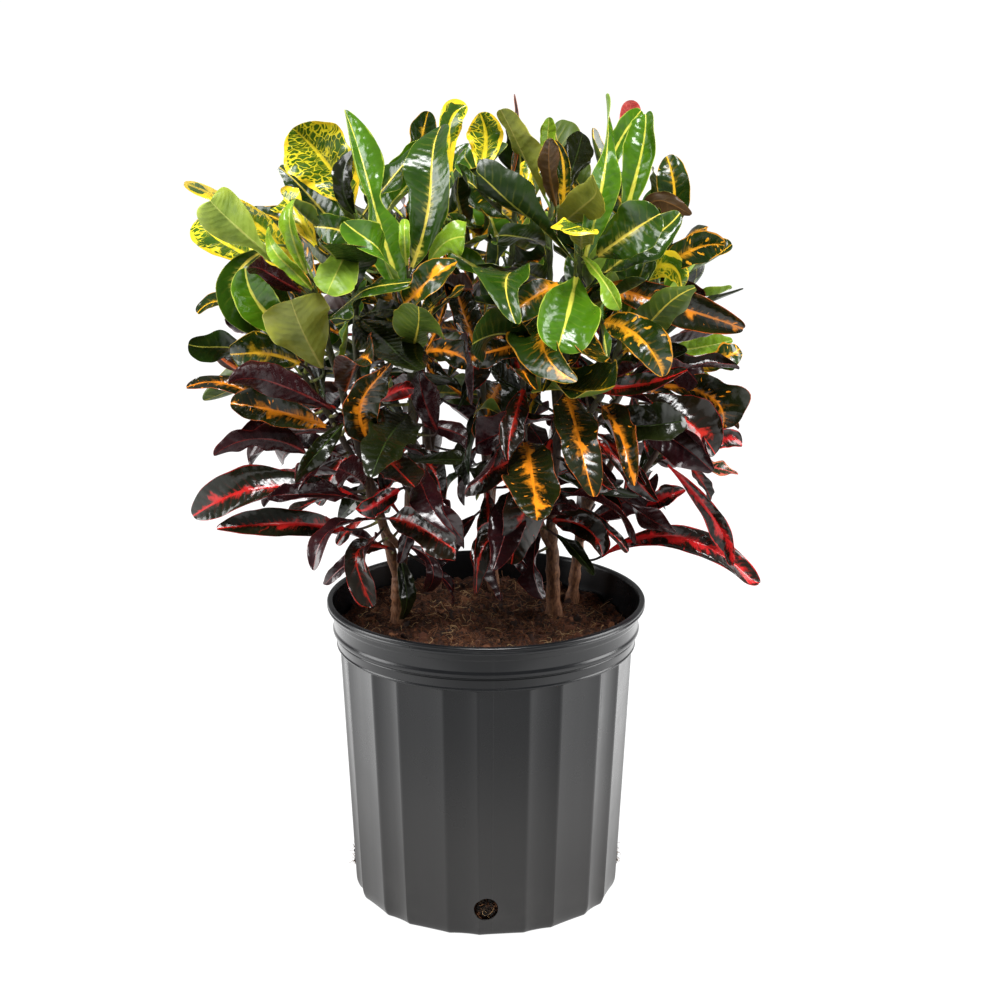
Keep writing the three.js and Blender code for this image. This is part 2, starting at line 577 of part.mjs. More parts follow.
// The lower a candidate scores, the clearer it lies of the other leaves, the walls, the pot and the dome
function crowding(points, taken, walls) {
  let score = 0;
  for (const point of points) {
    for (const other of taken) {
      const dx = point[0] - other[0];
      const dy = point[1] - other[1];
      const dz = point[2] - other[2];
      const square = dx * dx + dy * dy + dz * dz;
      if (square < NEIGHBOUR_REACH * NEIGHBOUR_REACH) {
        score += Math.exp(-square / (2 * CLEARANCE * CLEARANCE));
      }
    }
    for (const { normal, reach } of walls) {
      score += WALL_WEIGHT * Math.max(0, dot(normal, point) - reach);
    }
    const out = [0, 1, 2].map((i) => (point[i] - CROWN_CENTRE[i]) / CROWN_REACH[i]);
    score += DOME_WEIGHT * Math.max(0, Math.hypot(...out) - 1);
    const lowest = Math.hypot(point[0], point[1]) < RIM_INSIDE ? LOWEST_OVER_SOIL : LOWEST_OUTSIDE;
    score += LOW_WEIGHT * Math.max(0, lowest - point[2]);
  }
  return score;
}

// Leaves by rule: they turn round the shoot by the golden angle, spread low down and upright at its tip
function growLeaf(stem, k, draw) {
  const age = (k + 0.5) / stem.leaves;
  const height = mix(stem.low, 1, Math.pow(age, 0.85)) + HEIGHT_SPREAD * (draw() - 0.5);
  const t = Math.min(height, STEM_END);
  const root = curvePoint(stem.curve, t);
  const axis = curveDirection(stem.curve, t);
  const turn = radians(k * GOLDEN_ANGLE + TURN_SPREAD * (draw() - 0.5) + stem.curve[2][0]);
  const lean = radians(between(LEAN, Math.pow(age, 1.3)) + LEAN_SPREAD * (draw() - 0.5));
  const east = across([1, 0, 0.01], axis);
  const north = cross(axis, east);
  const radial = add(mul(east, Math.cos(turn)), mul(north, Math.sin(turn)));
  const out = add(mul(axis, Math.cos(lean)), mul(radial, Math.sin(lean)));
  const grown = between(BLADE_LENGTH, Math.sin(Math.PI * age)) - YOUNGEST_SHORTER * Math.pow(age, 6);
  const size = stem.size * grown * between(LENGTH_SHARE, draw());
  const stalk = between(STALK_LENGTH, draw()) * mix(1, 0.6, age);
  const base = add(root, mul(out, stalk));
  const bend = add(base, mul(out, size * 0.5));
  const droop = mix(DROOP, 0, Math.pow(age, 0.8)) + DROOP_SPREAD * (draw() - 0.5);
  const tip = add(bend, mul(unit(add(out, [0, 0, -droop])), size * 0.52));
  const roll = radians(ROLL_SPREAD * (draw() - 0.5));
  return {
    root,
    rib: [base, bend, tip],
    face: sub(mul(axis, Math.sin(lean)), mul(radial, Math.cos(lean))),
    halfWidth: size * between(WIDTH_SHARE, draw()),
    roll: [roll, roll + radians(TWIST_SPREAD * (draw() - 0.5))],
    curl: between(CURL, draw()),
    wave: between(GROWN_WAVE, draw()),
    waves: between(WAVES, draw()),
    phase: draw(),
    stations: GROWN_STATIONS,
  };
}

// Where a stalk leaves its stem: nearest a point a little below the blade, clear of the stalks before it
function stalkStart(base, stems, used) {
  const below = add(base, [0, 0, -STALK_DROP]);
  let best = null;
  for (const { curve } of Object.values(stems)) {
    for (let i = 0; i <= 60; i++) {
      const point = curvePoint(curve, STEM_END * (i / 60));
      const free = used.every((other) => length(sub(point, other)) > STALK_SPACING);
      const away = length(sub(point, below));
      if (free && (!best || away < best.away)) {
        best = { point, away };
      }
    }
  }
  used.push(best.point);
  return best.point;
}

function placeLeaf([base, middle, tip, halfWidth, face, turnStart, turnEnd, curl], root, draw) {
  return {
    root,
    rib: [base, sub(mul(middle, 2), mul(add(base, tip), 0.5)), tip],
    face,
    halfWidth,
    roll: [radians(turnStart), radians(turnEnd)],
    curl,
    wave: between(PLACED_WAVE, draw()),
    waves: between(WAVES, draw()),
    phase: draw(),
    stations: PLACED_STATIONS,
  };
}

// The same leaf leaning back, or forwards where lean is negative, which hardly shows from the front
function leaning(leaf, lean) {
  const [base, bend, tip] = leaf.rib;
  const shift = (point, share) => add(point, mul(VIEW_AXIS, lean * share));
  return { ...leaf, rib: [shift(base, 0.4), shift(bend, 1), shift(tip, 1)] };
}

// The clearest of some ways for one leaf to grow
function clearest(ways, taken, walls) {
  let best = null;
  for (const leaf of ways) {
    const points = samplePoints(leaf);
    const score = crowding(points, taken, walls);
    if (!best || score < best.score) {
      best = { leaf, points, score };
    }
  }
  return best;
}

function placePlant(plant, taken, draw) {
  const stems = stemCurves(plant);
  const walls = cellWalls(plant);
  for (const { curve } of Object.values(stems)) {
    for (let i = 0; i <= 12; i++) {
      taken.push(curvePoint(curve, i / 12));
    }
  }
  const used = [];
  const leaves = PLACED[plant].map((row) => {
    const leaf = placeLeaf(row, stalkStart(row[0], stems, used), draw);
    const best = clearest(LEANS.map((lean) => leaning(leaf, lean)), taken, walls);
    taken.push(...best.points);
    return best.leaf;
  });
  return { plant, stems, leaves, walls };
}

function growPlant({ stems, leaves, walls }, taken, draw) {
  for (const stem of Object.values(stems)) {
    for (let k = 0; k < stem.leaves; k++) {
      const ways = Array.from({ length: CANDIDATES }, () => growLeaf(stem, k, draw));
      const best = clearest(ways, taken, walls);
      if (best.score < CROWDED) {
        taken.push(...best.points);
        leaves.push(best.leaf);
      }
    }
  }
}

function plantSolid({ stems, leaves, walls }) {
  const keep = keeper(walls);
  const parts = Object.values(stems).map((stem) => stemSolid(stem));
  leaves.forEach((leaf) => parts.push(leafSolid(leaf, keep)));
  return wasm.Manifold.union(parts);
}

// Each trunk a little larger all round, which leaves its hole in the soil
function stemHoles() {
  return Object.keys(STEMS).map((plant) => stemSolid(stemCurves(plant).trunk, HOLE_GAP));
}

// Materials
const plastic = new THREE.MeshStandardMaterial({ color: 0x2b2c2e, roughness: 0.5, metalness: 0 });
const peat = new THREE.MeshStandardMaterial({ color: 0x4a2c1c, roughness: 1, metalness: 0 });
const foliage = new THREE.MeshStandardMaterial({ color: 0x3f5a1c, roughness: 0.35, metalness: 0 });

// Assembly
const croton = new THREE.Group();
croton.add(toMesh("pot", makePot(), plastic));
croton.add(toMesh("soil", makeSoil(stemHoles()), peat));
const taken = [];
const draw = seededNumbers(SEED);
const plants = Object.keys(STEMS).map((plant) => placePlant(plant, taken, draw));
for (const plant of plants) {
  growPlant(plant, taken, draw);
  croton.add(toMesh(`plant_${plant.plant}`, plantSolid(plant), foliage));
}

export default croton;
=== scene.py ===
"""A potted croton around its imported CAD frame: leaves, stems, soil, nursery pot and a plain studio."""

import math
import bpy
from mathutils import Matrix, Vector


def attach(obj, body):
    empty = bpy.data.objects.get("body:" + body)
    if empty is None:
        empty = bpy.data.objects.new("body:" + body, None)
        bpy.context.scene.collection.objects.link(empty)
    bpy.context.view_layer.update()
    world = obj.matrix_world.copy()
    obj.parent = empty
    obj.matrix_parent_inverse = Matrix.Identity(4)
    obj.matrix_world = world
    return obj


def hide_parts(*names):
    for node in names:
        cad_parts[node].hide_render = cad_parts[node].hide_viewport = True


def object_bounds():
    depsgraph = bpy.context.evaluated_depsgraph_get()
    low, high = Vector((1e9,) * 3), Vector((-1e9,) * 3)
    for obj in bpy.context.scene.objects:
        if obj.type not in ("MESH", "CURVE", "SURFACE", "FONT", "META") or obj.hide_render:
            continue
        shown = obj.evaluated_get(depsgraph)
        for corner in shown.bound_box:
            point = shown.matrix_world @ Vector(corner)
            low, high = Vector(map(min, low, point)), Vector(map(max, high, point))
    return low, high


bl_info = {
    "name": "Potted Croton",
    "version": (1, 0, 0),
    "blender": (4, 5, 0),
    "location": "3D View > Sidebar > Croton",
    "description": "Builds a potted croton: curled leaves, woody stems, coir soil and a fluted pot",
    "category": "Add Mesh",
}

import bmesh
import bpy
import numpy as np
from mathutils import Vector, noise

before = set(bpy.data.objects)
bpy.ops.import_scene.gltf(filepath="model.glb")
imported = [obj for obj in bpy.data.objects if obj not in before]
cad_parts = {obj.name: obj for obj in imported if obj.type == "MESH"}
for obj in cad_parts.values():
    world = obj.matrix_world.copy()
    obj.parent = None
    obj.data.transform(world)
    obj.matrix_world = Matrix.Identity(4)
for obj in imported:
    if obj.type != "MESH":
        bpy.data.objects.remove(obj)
CAD_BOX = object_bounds()
BODY = "root"
MM = 0.001

# Driving dimensions of the pot, in millimetres and degrees, as in the part's source
POT_HEIGHT = 248
RIM_RADIUS = 127
WALL = 1.6
FLUTE_PAIRS = 11
WIDE_FLUTE_SHARE = 0.6
FLUTE_DEPTH = 2.6
FLUTE_TURN = -3
DRAIN_RADIUS = 9.5
DRAIN_HEIGHT = 25
DRAIN_COUNT = 4
FOOT_RADIUS = 107
FLUTE_TOP_RADIUS = 117.2
FLUTE_FOOT_Z = 8
FLUTE_TOP_Z = 209
SEAM_TURN = 2.6

# Soil
GAP = 0.3
SOIL_TOP = 222
SOIL_EDGE = 117.1 - GAP
SOIL_SLOPE = (-0.028, 0.03)
BROAD_LUMPS = 1.9
SMALL_LUMPS = 1.3
ROOTED_TO = 150

# Leaf proportions
WIDTH_SHARE = (0.19, 0.24)
OUTLINE_RISE = 0.8
OUTLINE_FALL = 0.42
PETIOLE_RADIUS = 1.3
STALK_DROP = 10
STALK_SPACING = 5.5
STEM_END = 0.985
STEM_SAMPLES = 12
STALK_PLACES = 60
PLACED_WAVE = (0.08, 0.22)
WAVES = (1.2, 2.2)
WAVE_LAG = 0.21
LEANS = (0, 4, -4, 8, -8, 12, -12, 16, -16, 20, -20, 25, -25)
LEAN_SHARES = (0.4, 1, 1)
VIEW_AXIS = np.array((0, 0.962, -0.272))
CROWDED = 13
SEED = 4127

# How leaves grow by rule: a pair goes from the oldest leaf of a shoot to the youngest, or from the least
# to the most that a draw gives, and a spread is the whole width of a draw. Angles are in degrees. A bias is
# the power of a leaf's youth, from 0 to 1, that a value follows.
GOLDEN_ANGLE = 137.508
TURN_SPREAD = 200
HEIGHT_SPREAD = 0.08
HEIGHT_BIAS = 0.85
LEAN = (98, 26)
LEAN_SPREAD = 46
LEAN_BIAS = 1.3
BLADE_LENGTH = (96, 112)
LENGTH_SHARE = (0.82, 1.12)
YOUNGEST_SHORTER = 24
YOUNGEST_BIAS = 6
BEND_AT = 0.5
TIP_AFTER_BEND = 0.52
STALK_LENGTH = (12, 20)
YOUNGEST_STALK = 0.6
DROOP = 0.75
DROOP_SPREAD = 0.7
DROOP_BIAS = 0.8
ROLL_SPREAD = 50
TWIST_SPREAD = 190
CURL = (-0.5, 0.9)
GROWN_WAVE = (0.1, 0.32)
GROWN_DRAWS = 13

# How the clearest way for a leaf is chosen
CANDIDATES = 50
SAMPLES_ALONG = (0.12, 0.32, 0.52, 0.72, 0.94)
SAMPLES_ACROSS = (-0.9, -0.3, 0.3, 0.9)
CLEARANCE = 6.5
NEIGHBOUR_REACH = 20
WALL_WEIGHT = 0.12
DOME_WEIGHT = 12
LOW_WEIGHT = 0.1
LOWEST_OVER_SOIL = 240
LOWEST_OUTSIDE = 275
RIM_INSIDE = 112
OVER_SOIL = 4
OVER_RIM = 5
LIFT_MARGIN = 10
CROWN_CENTRE = np.array((-12, 22, 440))
CROWN_REACH = np.array((205, 170, 195))

# Each cutting keeps to its own cell of the crown: the cells meet halfway between these plan points
CELL_SITES = {
    "left": (-88, 5),
    "back": (0, 60),
    "centre": (72, -15),
    "right": (105, 70),
    "back_left": (-60, 100),
}
CELL_GAP = 0.4
CELL_MARGIN = 5

# Where each cutting is rooted, in plan
ROOTED_AT = {
    "left": (-69, 8),
    "back": (8, 92),
    "centre": (56, 29),
    "right": (68, 62),
    "back_left": (-40, 80),
}

# Stems: name, the stem it grows from, where on it, its bend, its end, its two radii,
# how many leaves grow on it by rule, where along it they begin and their size
STEMS = {
    "left": [
        ("trunk", "soil", 0, (-70, 7, 240), (-70, 5, 262), 6.2, 5.8, 0, 0, 1),
        ("a1", "trunk", 0.96, (-98, -4, 370), (-134, -20, 502), 4.6, 2.4, 8, 0.3, 1),
        ("a2", "trunk", 0.96, (-48, -12, 370), (-63, -30, 500), 4.6, 2.4, 8, 0.28, 1),
        ("a3", "a1", 0.28, (-108, -12, 376), (-140, -26, 436), 3.2, 2.2, 4, 0.45, 0.95),
        ("a4", "a1", 0.45, (-104, 20, 450), (-100, 4, 548), 3.2, 2.2, 9, 0.25, 1),
        ("a5", "a2", 0.12, (-82, -28, 306), (-95, -36, 356), 3, 2.2, 3, 0.45, 0.85),
    ],
    "back": [
        ("trunk", "soil", 0, (6, 90, 260), (0, 84, 340), 4.8, 4, 0, 0, 1),
        ("b1", "trunk", 0.98, (-8, 80, 450), (-18, 56, 556), 3.8, 2.4, 10, 0.15, 1),
        ("b2", "trunk", 0.7, (20, 112, 410), (26, 122, 528), 3.4, 2.2, 10, 0.3, 1),
        ("b3", "b1", 0.35, (22, 52, 480), (22, 34, 552), 2.8, 2.2, 7, 0.2, 1),
        ("b4", "trunk", 0.62, (0, 44, 330), (-4, 12, 462), 3.2, 2.2, 12, 0.2, 1),
    ],
    "centre": [
        ("trunk", "soil", 0, (55, 28, 250), (52, 22, 300), 5.8, 5, 0, 0, 1),
        ("c1", "trunk", 0.97, (54, 0, 410), (75, -16, 540), 4.2, 2.4, 8, 0.22, 1),
        ("c2", "trunk", 0.8, (22, 8, 350), (30, -28, 446), 3.6, 2.2, 6, 0.25, 0.95),
        ("c3", "c1", 0.3, (92, -12, 400), (104, -28, 470), 3.2, 2.2, 6, 0.25, 1),
        ("c4", "c1", 0.4, (46, -2, 470), (50, 6, 566), 3, 2.2, 7, 0.3, 0.95),
    ],
    "right": [
        ("trunk", "soil", 0, (70, 62, 250), (82, 62, 306), 4.8, 4.4, 0, 0, 1),
        ("d1", "trunk", 0.97, (130, 26, 390), (134, 20, 528), 3.8, 2.3, 9, 0.25, 1),
        ("d2", "trunk", 0.97, (92, 72, 440), (106, 58, 556), 3.8, 2.3, 11, 0.3, 1),
        ("d3", "d2", 0.25, (130, 96, 400), (132, 104, 496), 3.2, 2.2, 10, 0.3, 1),
        ("d4", "trunk", 0.75, (106, 36, 300), (142, 8, 378), 3, 2.2, 3, 0.35, 0.9),
    ],
    "back_left": [
        ("trunk", "soil", 0, (-42, 82, 260), (-48, 86, 340), 4.6, 4, 0, 0, 1),
        ("e1", "trunk", 0.98, (-54, 92, 450), (-60, 80, 556), 3.6, 2.3, 12, 0.2, 1),
        ("e2", "trunk", 0.8, (-84, 114, 400), (-104, 112, 478), 3.2, 2.2, 9, 0.3, 1),
        ("e3", "trunk", 0.9, (-40, 124, 420), (-44, 134, 500), 3, 2.2, 8, 0.3, 1),
    ],
}

# The way a leaf's upper face looks
FRONT = (0, -1, 0.3)
BACK = (0, 1, -0.3)
UPFRONT = (0, -0.6, 0.8)
LEFT = (-0.8, -0.5, 0.2)

# Leaves placed one by one: the blade's start, middle and tip, half its width, the way it faces,
# its turn in degrees at the start and at the tip, how far its halves curl up, and its colouring
PLACED = {
    "left": [
        ((-103, 22, 558), (-123, 16, 593), (-149, 8, 624), 27, FRONT, 0, 15, 0.35, "speckled"),
        ((-63, -30, 499), (-83, -46, 566), (-100, -34, 643), 19, FRONT, 5, -55, 0.5, "limerib"),
        ((-56, -36, 519), (-41, -52, 580), (-47, -34, 631), 20, FRONT, 10, 35, 0.5, "creamrib"),
        ((-43, -42, 524), (-25, -58, 547), (1, -66, 545), 15, FRONT, -10, 25, -0.5, "lime"),
        ((-59, -40, 520), (-60, -44, 537), (-60, -42, 555), 4.5, FRONT, 0, 0, 0.4, "lime"),
        ((-61, -45, 492), (-47, -62, 507), (-29, -70, 529), 13, FRONT, 0, 20, 0.4, "blotched"),
        ((-143, -22, 516), (-180, -34, 559), (-226, -30, 587), 12, FRONT, 0, 30, 0.4, "yellow"),
        ((-155, -32, 521), (-186, -64, 557), (-203, -84, 580), 18, BACK, 0, 0, 0.4, "underpale"),
        ((-153, -12, 513), (-199, 0, 532), (-226, 8, 553), 15, FRONT, -20, 10, 0.5, "speckled"),
        ((-164, -30, 534), (-191, -48, 510), (-173, -52, 473), 13, FRONT, 0, -20, 0.5, "creamrib"),
        ((-148, -44, 473), (-171, -62, 498), (-180, -66, 526), 17, FRONT, 10, -10, 0.5, "limerib"),
        ((-139, -40, 501), (-159, -62, 518), (-176, -74, 533), 9, BACK, 0, 20, 0.6, "maroon"),
        ((-101, -24, 535), (-108, -50, 520), (-117, -62, 502), 17, BACK, 0, -15, 0.4, "underlime"),
        ((-83, -24, 520), (-105, -40, 548), (-130, -46, 551), 13, FRONT, 0, 20, 0.4, "creamrib"),
        ((-100, -6, 555), (-109, -12, 582), (-98, -10, 604), 10, FRONT, 0, 10, 0.3, "dark"),
        ((-135, -26, 512), (-145, -36, 543), (-148, -36, 571), 8, FRONT, 0, 20, 0.5, "lime"),
        ((-130, -8, 531), (-148, -4, 561), (-158, 0, 568), 13, FRONT, 0, 10, 0.4, "speckled"),
        ((-131, -34, 502), (-150, -52, 526), (-166, -60, 543), 7, FRONT, 0, 30, 0.6, "lime"),
        ((-124, -48, 445), (-136, -76, 478), (-144, -88, 506), 26, BACK, 0, 0, 0.3, "underolive"),
        ((-170, -20, 468), (-198, -24, 492), (-220, -26, 484), 10, UPFRONT, 0, 20, 0.4, "yellowrib"),
        ((-181, -16, 466), (-192, -20, 474), (-202, -22, 481), 6, BACK, 0, 0, 0.4, "maroon"),
        ((-141, -44, 447), (-167, -68, 461), (-191, -78, 460), 17, FRONT, -10, 20, 0.5, "yellowrib"),
        ((-187, -10, 433), (-209, -14, 450), (-213, -12, 468), 6, BACK, 0, 20, 0.5, "orangerib"),
        ((-164, -30, 408), (-198, -40, 431), (-231, -44, 430), 9, UPFRONT, 0, 20, 0.4, "orangerib"),
        ((-118, -40, 411), (-155, -60, 434), (-191, -70, 446), 14, BACK, 0, 30, 0.4, "maroon"),
        ((-122, -44, 398), (-156, -66, 415), (-193, -76, 425), 14, FRONT, 0, -20, 0.4, "orangerib"),
        ((-139, -50, 379), (-168, -72, 396), (-208, -80, 392), 12, BACK, 0, 50, 0.5, "maroon"),
        ((-108, -44, 400), (-126, -58, 381), (-143, -60, 362), 10, FRONT, 0, 30, 0.4, "dark"),
        ((-103, -40, 342), (-170, -66, 356), (-229, -78, 338), 16, UPFRONT, -10, 25, 0.5, "redband"),
        ((-110, -34, 313), (-158, -60, 325), (-207, -70, 322), 13, FRONT, 0, -30, 0.5, "redband"),
        ((-112, -24, 339), (-151, -36, 357), (-189, -40, 362), 8, FRONT, 20, 40, 0.5, "scarlet"),
        ((-97, -20, 317), (-108, -28, 311), (-118, -32, 300), 5, FRONT, 0, 20, 0.4, "redrib"),
        ((-87, -40, 382), (-93, -62, 420), (-66, -66, 446), 18, FRONT, 0, -30, 0.5, "orangerib"),
        ((-83, -34, 415), (-67, -52, 427), (-54, -58, 431), 7, BACK, 0, 20, 0.5, "scarlet"),
        ((-38, -30, 392), (-47, -44, 419), (-51, -46, 444), 13, BACK, 0, 20, 0.5, "maroon"),
        ((-46, -34, 454), (-29, -54, 460), (-8, -58, 451), 13, FRONT, 0, 20, 0.4, "orangerib"),
        ((-48, -30, 396), (-24, -44, 394), (-2, -48, 382), 9, BACK, 0, -20, 0.5, "maroon"),
        ((-77, -10, 291), (-100, -28, 291), (-86, -32, 255), 12, FRONT, 0, -20, 0.5, "redrib"),
        ((-51, -24, 346), (-33, -32, 325), (-14, -30, 297), 8, FRONT, 0, 30, 0.5, "maroon"),
        ((-67, -22, 342), (-82, -34, 335), (-96, -40, 326), 9, FRONT, 0, 30, 0.5, "scarlet"),
        ((-58, -12, 334), (-60, -20, 308), (-69, -22, 284), 7, FRONT, 20, 50, 0.5, "maroon"),
        ((-62, -4, 291), (-43, -14, 280), (-43, -16, 253), 8, FRONT, 0, 30, 0.5, "maroon"),
    ],
    "back": [
        ((24, 46, 545), (2, 24, 569), (-18, 18, 585), 17, FRONT, 0, 15, 0.3, "yellowrib"),
        ((-6, 60, 578), (0, 58, 605), (-5, 52, 629), 15, FRONT, 0, 10, 0.3, "speckled"),
        ((-27, 56, 578), (-29, 58, 612), (-17, 56, 632), 11, FRONT, 0, 20, 0.4, "speckled"),
        ((17, 40, 568), (25, 34, 602), (22, 38, 638), 8, LEFT, 20, 50, 0.5, "orangerib"),
        ((27, 60, 556), (35, 62, 579), (38, 62, 593), 9, FRONT, 0, 20, 0.4, "yellow"),
        ((-48, 50, 557), (-55, 50, 579), (-61, 50, 589), 11, FRONT, 0, 20, 0.4, "maroon"),
    ],
    "centre": [
        ((48, 26, 584), (47, 26, 605), (48, 24, 623), 7, FRONT, 0, 0, 0.4, "lime"),
        ((53, 4, 558), (47, -8, 587), (47, -16, 610), 10, BACK, 0, 0, 0.4, "underbrown"),
        ((58, 4, 552), (59, 0, 586), (54, 4, 608), 6, FRONT, 0, 20, 0.4, "yellowrib"),
        ((62, 20, 568), (69, 24, 593), (79, 24, 614), 12, FRONT, 0, 0, 0.4, "dark"),
        ((74, -22, 521), (88, -44, 592), (93, -28, 652), 17, FRONT, 0, -60, 0.6, "limerib"),
        ((103, -18, 548), (116, -30, 601), (122, -20, 635), 14, FRONT, 0, 35, 0.5, "limerib"),
        ((91, 0, 572), (100, -4, 609), (120, 0, 631), 10, FRONT, 0, 20, 0.5, "limerib"),
        ((84, -30, 527), (108, -58, 551), (129, -66, 566), 20, FRONT, -10, 10, 0.4, "creamrib"),
        ((72, -30, 526), (87, -54, 510), (98, -64, 490), 8, FRONT, 0, -60, 0.5, "lime"),
        ((68, -28, 510), (60, -64, 486), (52, -82, 464), 23, FRONT, 0, 5, 0.3, "limerib"),
        ((55, -20, 504), (33, -44, 496), (11, -52, 481), 14, FRONT, 0, 10, 0.4, "blotched"),
        ((89, -40, 478), (114, -72, 471), (132, -80, 444), 15, FRONT, 0, 20, 0.4, "spotted"),
        ((89, -28, 505), (139, -60, 497), (192, -50, 480), 15, FRONT, 10, -20, 0.4, "orangerib"),
        ((37, -24, 461), (11, -44, 458), (-14, -50, 454), 14, FRONT, 0, 20, 0.4, "orangerib"),
        ((17, -20, 456), (-2, -30, 472), (-5, -36, 448), 6, FRONT, 0, 40, 0.5, "orangerib"),
        ((29, -24, 422), (20, -44, 398), (14, -50, 376), 12, FRONT, 0, 20, 0.5, "redrib"),
        ((59, -24, 390), (75, -52, 370), (96, -60, 344), 12, FRONT, 0, -20, 0.4, "redrib"),
        ((76, -20, 424), (111, -46, 429), (150, -50, 440), 10, FRONT, 0, 20, 0.4, "redband"),
        ((91, -30, 396), (123, -58, 402), (150, -66, 410), 16, FRONT, 0, 15, 0.4, "dark"),
        ((32, 14, 282), (2, -6, 296), (-6, -14, 257), 11, UPFRONT, 0, -30, 0.5, "redrib"),
        ((43, 14, 305), (55, -2, 324), (67, -10, 320), 10, BACK, 0, 20, 0.5, "maroon"),
        ((53, 12, 307), (78, -16, 309), (94, -26, 289), 12, FRONT, 0, 20, 0.5, "redrib"),
    ],
    "right": [
        ((110, 46, 597), (112, 46, 618), (113, 46, 638), 9, FRONT, 0, 0, 0.4, "rose"),
        ((141, 24, 536), (146, 12, 571), (139, 18, 600), 14, FRONT, 0, 20, 0.4, "yellowrib"),
        ((118, 10, 552), (133, -8, 568), (151, -14, 556), 9, BACK, 0, 20, 0.5, "underbrown"),
        ((131, 12, 505), (158, 2, 526), (182, -2, 532), 13, FRONT, 10, -20, 0.4, "spotted"),
        ((113, 2, 496), (134, -18, 518), (156, -26, 506), 13, FRONT, 0, 20, 0.4, "yellow"),
        ((141, 26, 442), (169, 16, 448), (195, 14, 455), 8, FRONT, 0, 20, 0.4, "lime"),
        ((162, 36, 426), (180, 28, 432), (197, 26, 442), 11, FRONT, 0, 0, 0.4, "spotted"),
        ((139, 10, 446), (153, -12, 438), (168, -20, 424), 14, BACK, 0, 10, 0.4, "maroon"),
        ((139, 4, 419), (174, -24, 417), (192, -32, 391), 19, FRONT, 0, 20, 0.4, "orangerib"),
        ((140, 8, 359), (175, -8, 377), (204, -12, 382), 9, FRONT, 0, 30, 0.5, "scarlet"),
        ((162, 16, 359), (182, 8, 352), (201, 4, 351), 8, FRONT, 0, 20, 0.4, "rosespot"),
        ((143, 2, 356), (178, -22, 321), (200, -30, 285), 10, FRONT, 20, -60, 0.6, "scarlet"),
        ((161, 6, 357), (168, -14, 343), (175, -18, 330), 8, FRONT, 0, 20, 0.5, "redrib"),
        ((94, 44, 267), (156, 10, 293), (218, -4, 254), 13, FRONT, -15, 25, 0.5, "scarlet"),
        ((84, 40, 299), (111, 20, 320), (137, 14, 338), 13, BACK, 0, 30, 0.5, "maroon"),
        ((123, 20, 317), (139, 4, 326), (156, 0, 339), 9, FRONT, 0, 30, 0.5, "scarlet"),
    ],
    "back_left": [],
}

# Forms of the most visible placed leaves, by their number in the table: how deep a waist is, where it is,
# how much the blade tapers to its tip, how far the tip twists and how uneven the outline is
FORMS = {
    "left": {
        0: (0.0, 0.5, -0.1, 0.0, 0.6),
        1: (0.6, 0.55, 0.6, -0.2, 0.3),
        2: (0.15, 0.25, 0.3, -0.2, 0.4),
        3: (0.1, 0.5, -0.4, 0.0, 0.8),
        6: (0.3, 0.75, 0.6, 0.3, 0.6),
        7: (0.5, 0.22, -0.2, 0.0, 0.1),
        8: (0.0, 0.5, -0.6, 0.0, 0.5),
        9: (0.0, 0.5, 0.1, 0.0, 0.4),
        10: (0.0, 0.5, 0.3, 0.0, 0.4),
        12: (0.0, 0.5, -0.2, 0.0, 0.6),
        18: (0.0, 0.5, -0.5, 0.0, 0.3),
        28: (0.1, 0.3, 0.2, 0.5, 0.5),
        29: (0.0, 0.5, 0.5, -0.3, 0.5),
    },
    "back": {
        0: (0.0, 0.5, 0.3, 0.0, 0.4),
        1: (0.0, 0.5, 0.0, 0.0, 0.4),
        2: (0.0, 0.5, -0.3, 0.0, 0.4),
        3: (0.0, 0.5, 0.9, 0.0, 0.2),
        4: (0.0, 0.5, 0.0, 0.0, 0.4),
    },
    "centre": {
        4: (0.35, 0.66, 0.0, -0.6, 0.3),
        5: (0.0, 0.5, -0.2, 0.2, 0.4),
        7: (0.0, 0.5, 0.2, 0.0, 0.4),
        8: (0.5, 0.45, -0.3, 0.2, 0.3),
        9: (0.0, 0.5, -0.1, 0.0, 0.15),
        12: (0.0, 0.5, 0.5, -0.3, 0.4),
    },
    "right": {
        0: (0.0, 0.5, 0.0, 0.0, 0.2),
        1: (0.0, 0.5, 0.3, 0.0, 0.4),
        11: (0.0, 0.5, -0.5, -0.4, 0.5),
        13: (0.0, 0.5, -0.8, 0.5, 0.4),
    },
    "back_left": {},
}


def unit(a):
    """Vectors along the last axis, made one long."""
    return a / np.linalg.norm(a, axis=-1, keepdims=True)


def across(a, axis):
    """The part of a that stands across the axis, made one long."""
    return unit(a - axis * np.sum(a * axis, axis=-1, keepdims=True))


def mix(a, b, t):
    return a + (b - a) * t


def between(pair, t):
    return mix(pair[0], pair[1], t)


def smooth_step(low, high, value):
    t = np.clip((value - low) / (high - low), 0, 1)
    return t * t * (3 - 2 * t)


def curve_points(ribs, t):
    """Points of quadratic Bezier curves: one row a curve, one column a value of t."""
    t = np.asarray(t, float)[None, :, None]
    return ribs[:, 0:1] * (1 - t) ** 2 + ribs[:, 2:3] * t**2 + ribs[:, 1:2] * (2 * t * (1 - t))


def curve_directions(ribs, t):
    t = np.asarray(t, float)[None, :, None]
    return unit((ribs[:, 1:2] - ribs[:, 0:1]) * (1 - t) + (ribs[:, 2:3] - ribs[:, 1:2]) * t)


def seeded_numbers(seed):
    """Seeded numbers from 0 to 1, the same as the part's source draws."""
    low_bits = 0xFFFFFFFF
    state = seed & low_bits
    while True:
        state = (state + 0x6D2B79F5) & low_bits
        t = ((state ^ (state >> 15)) * (state | 1)) & low_bits
        t ^= (t + (((t ^ (t >> 7)) * (t | 61)) & low_bits)) & low_bits
        yield ((t ^ (t >> 14)) & low_bits) / 4294967296


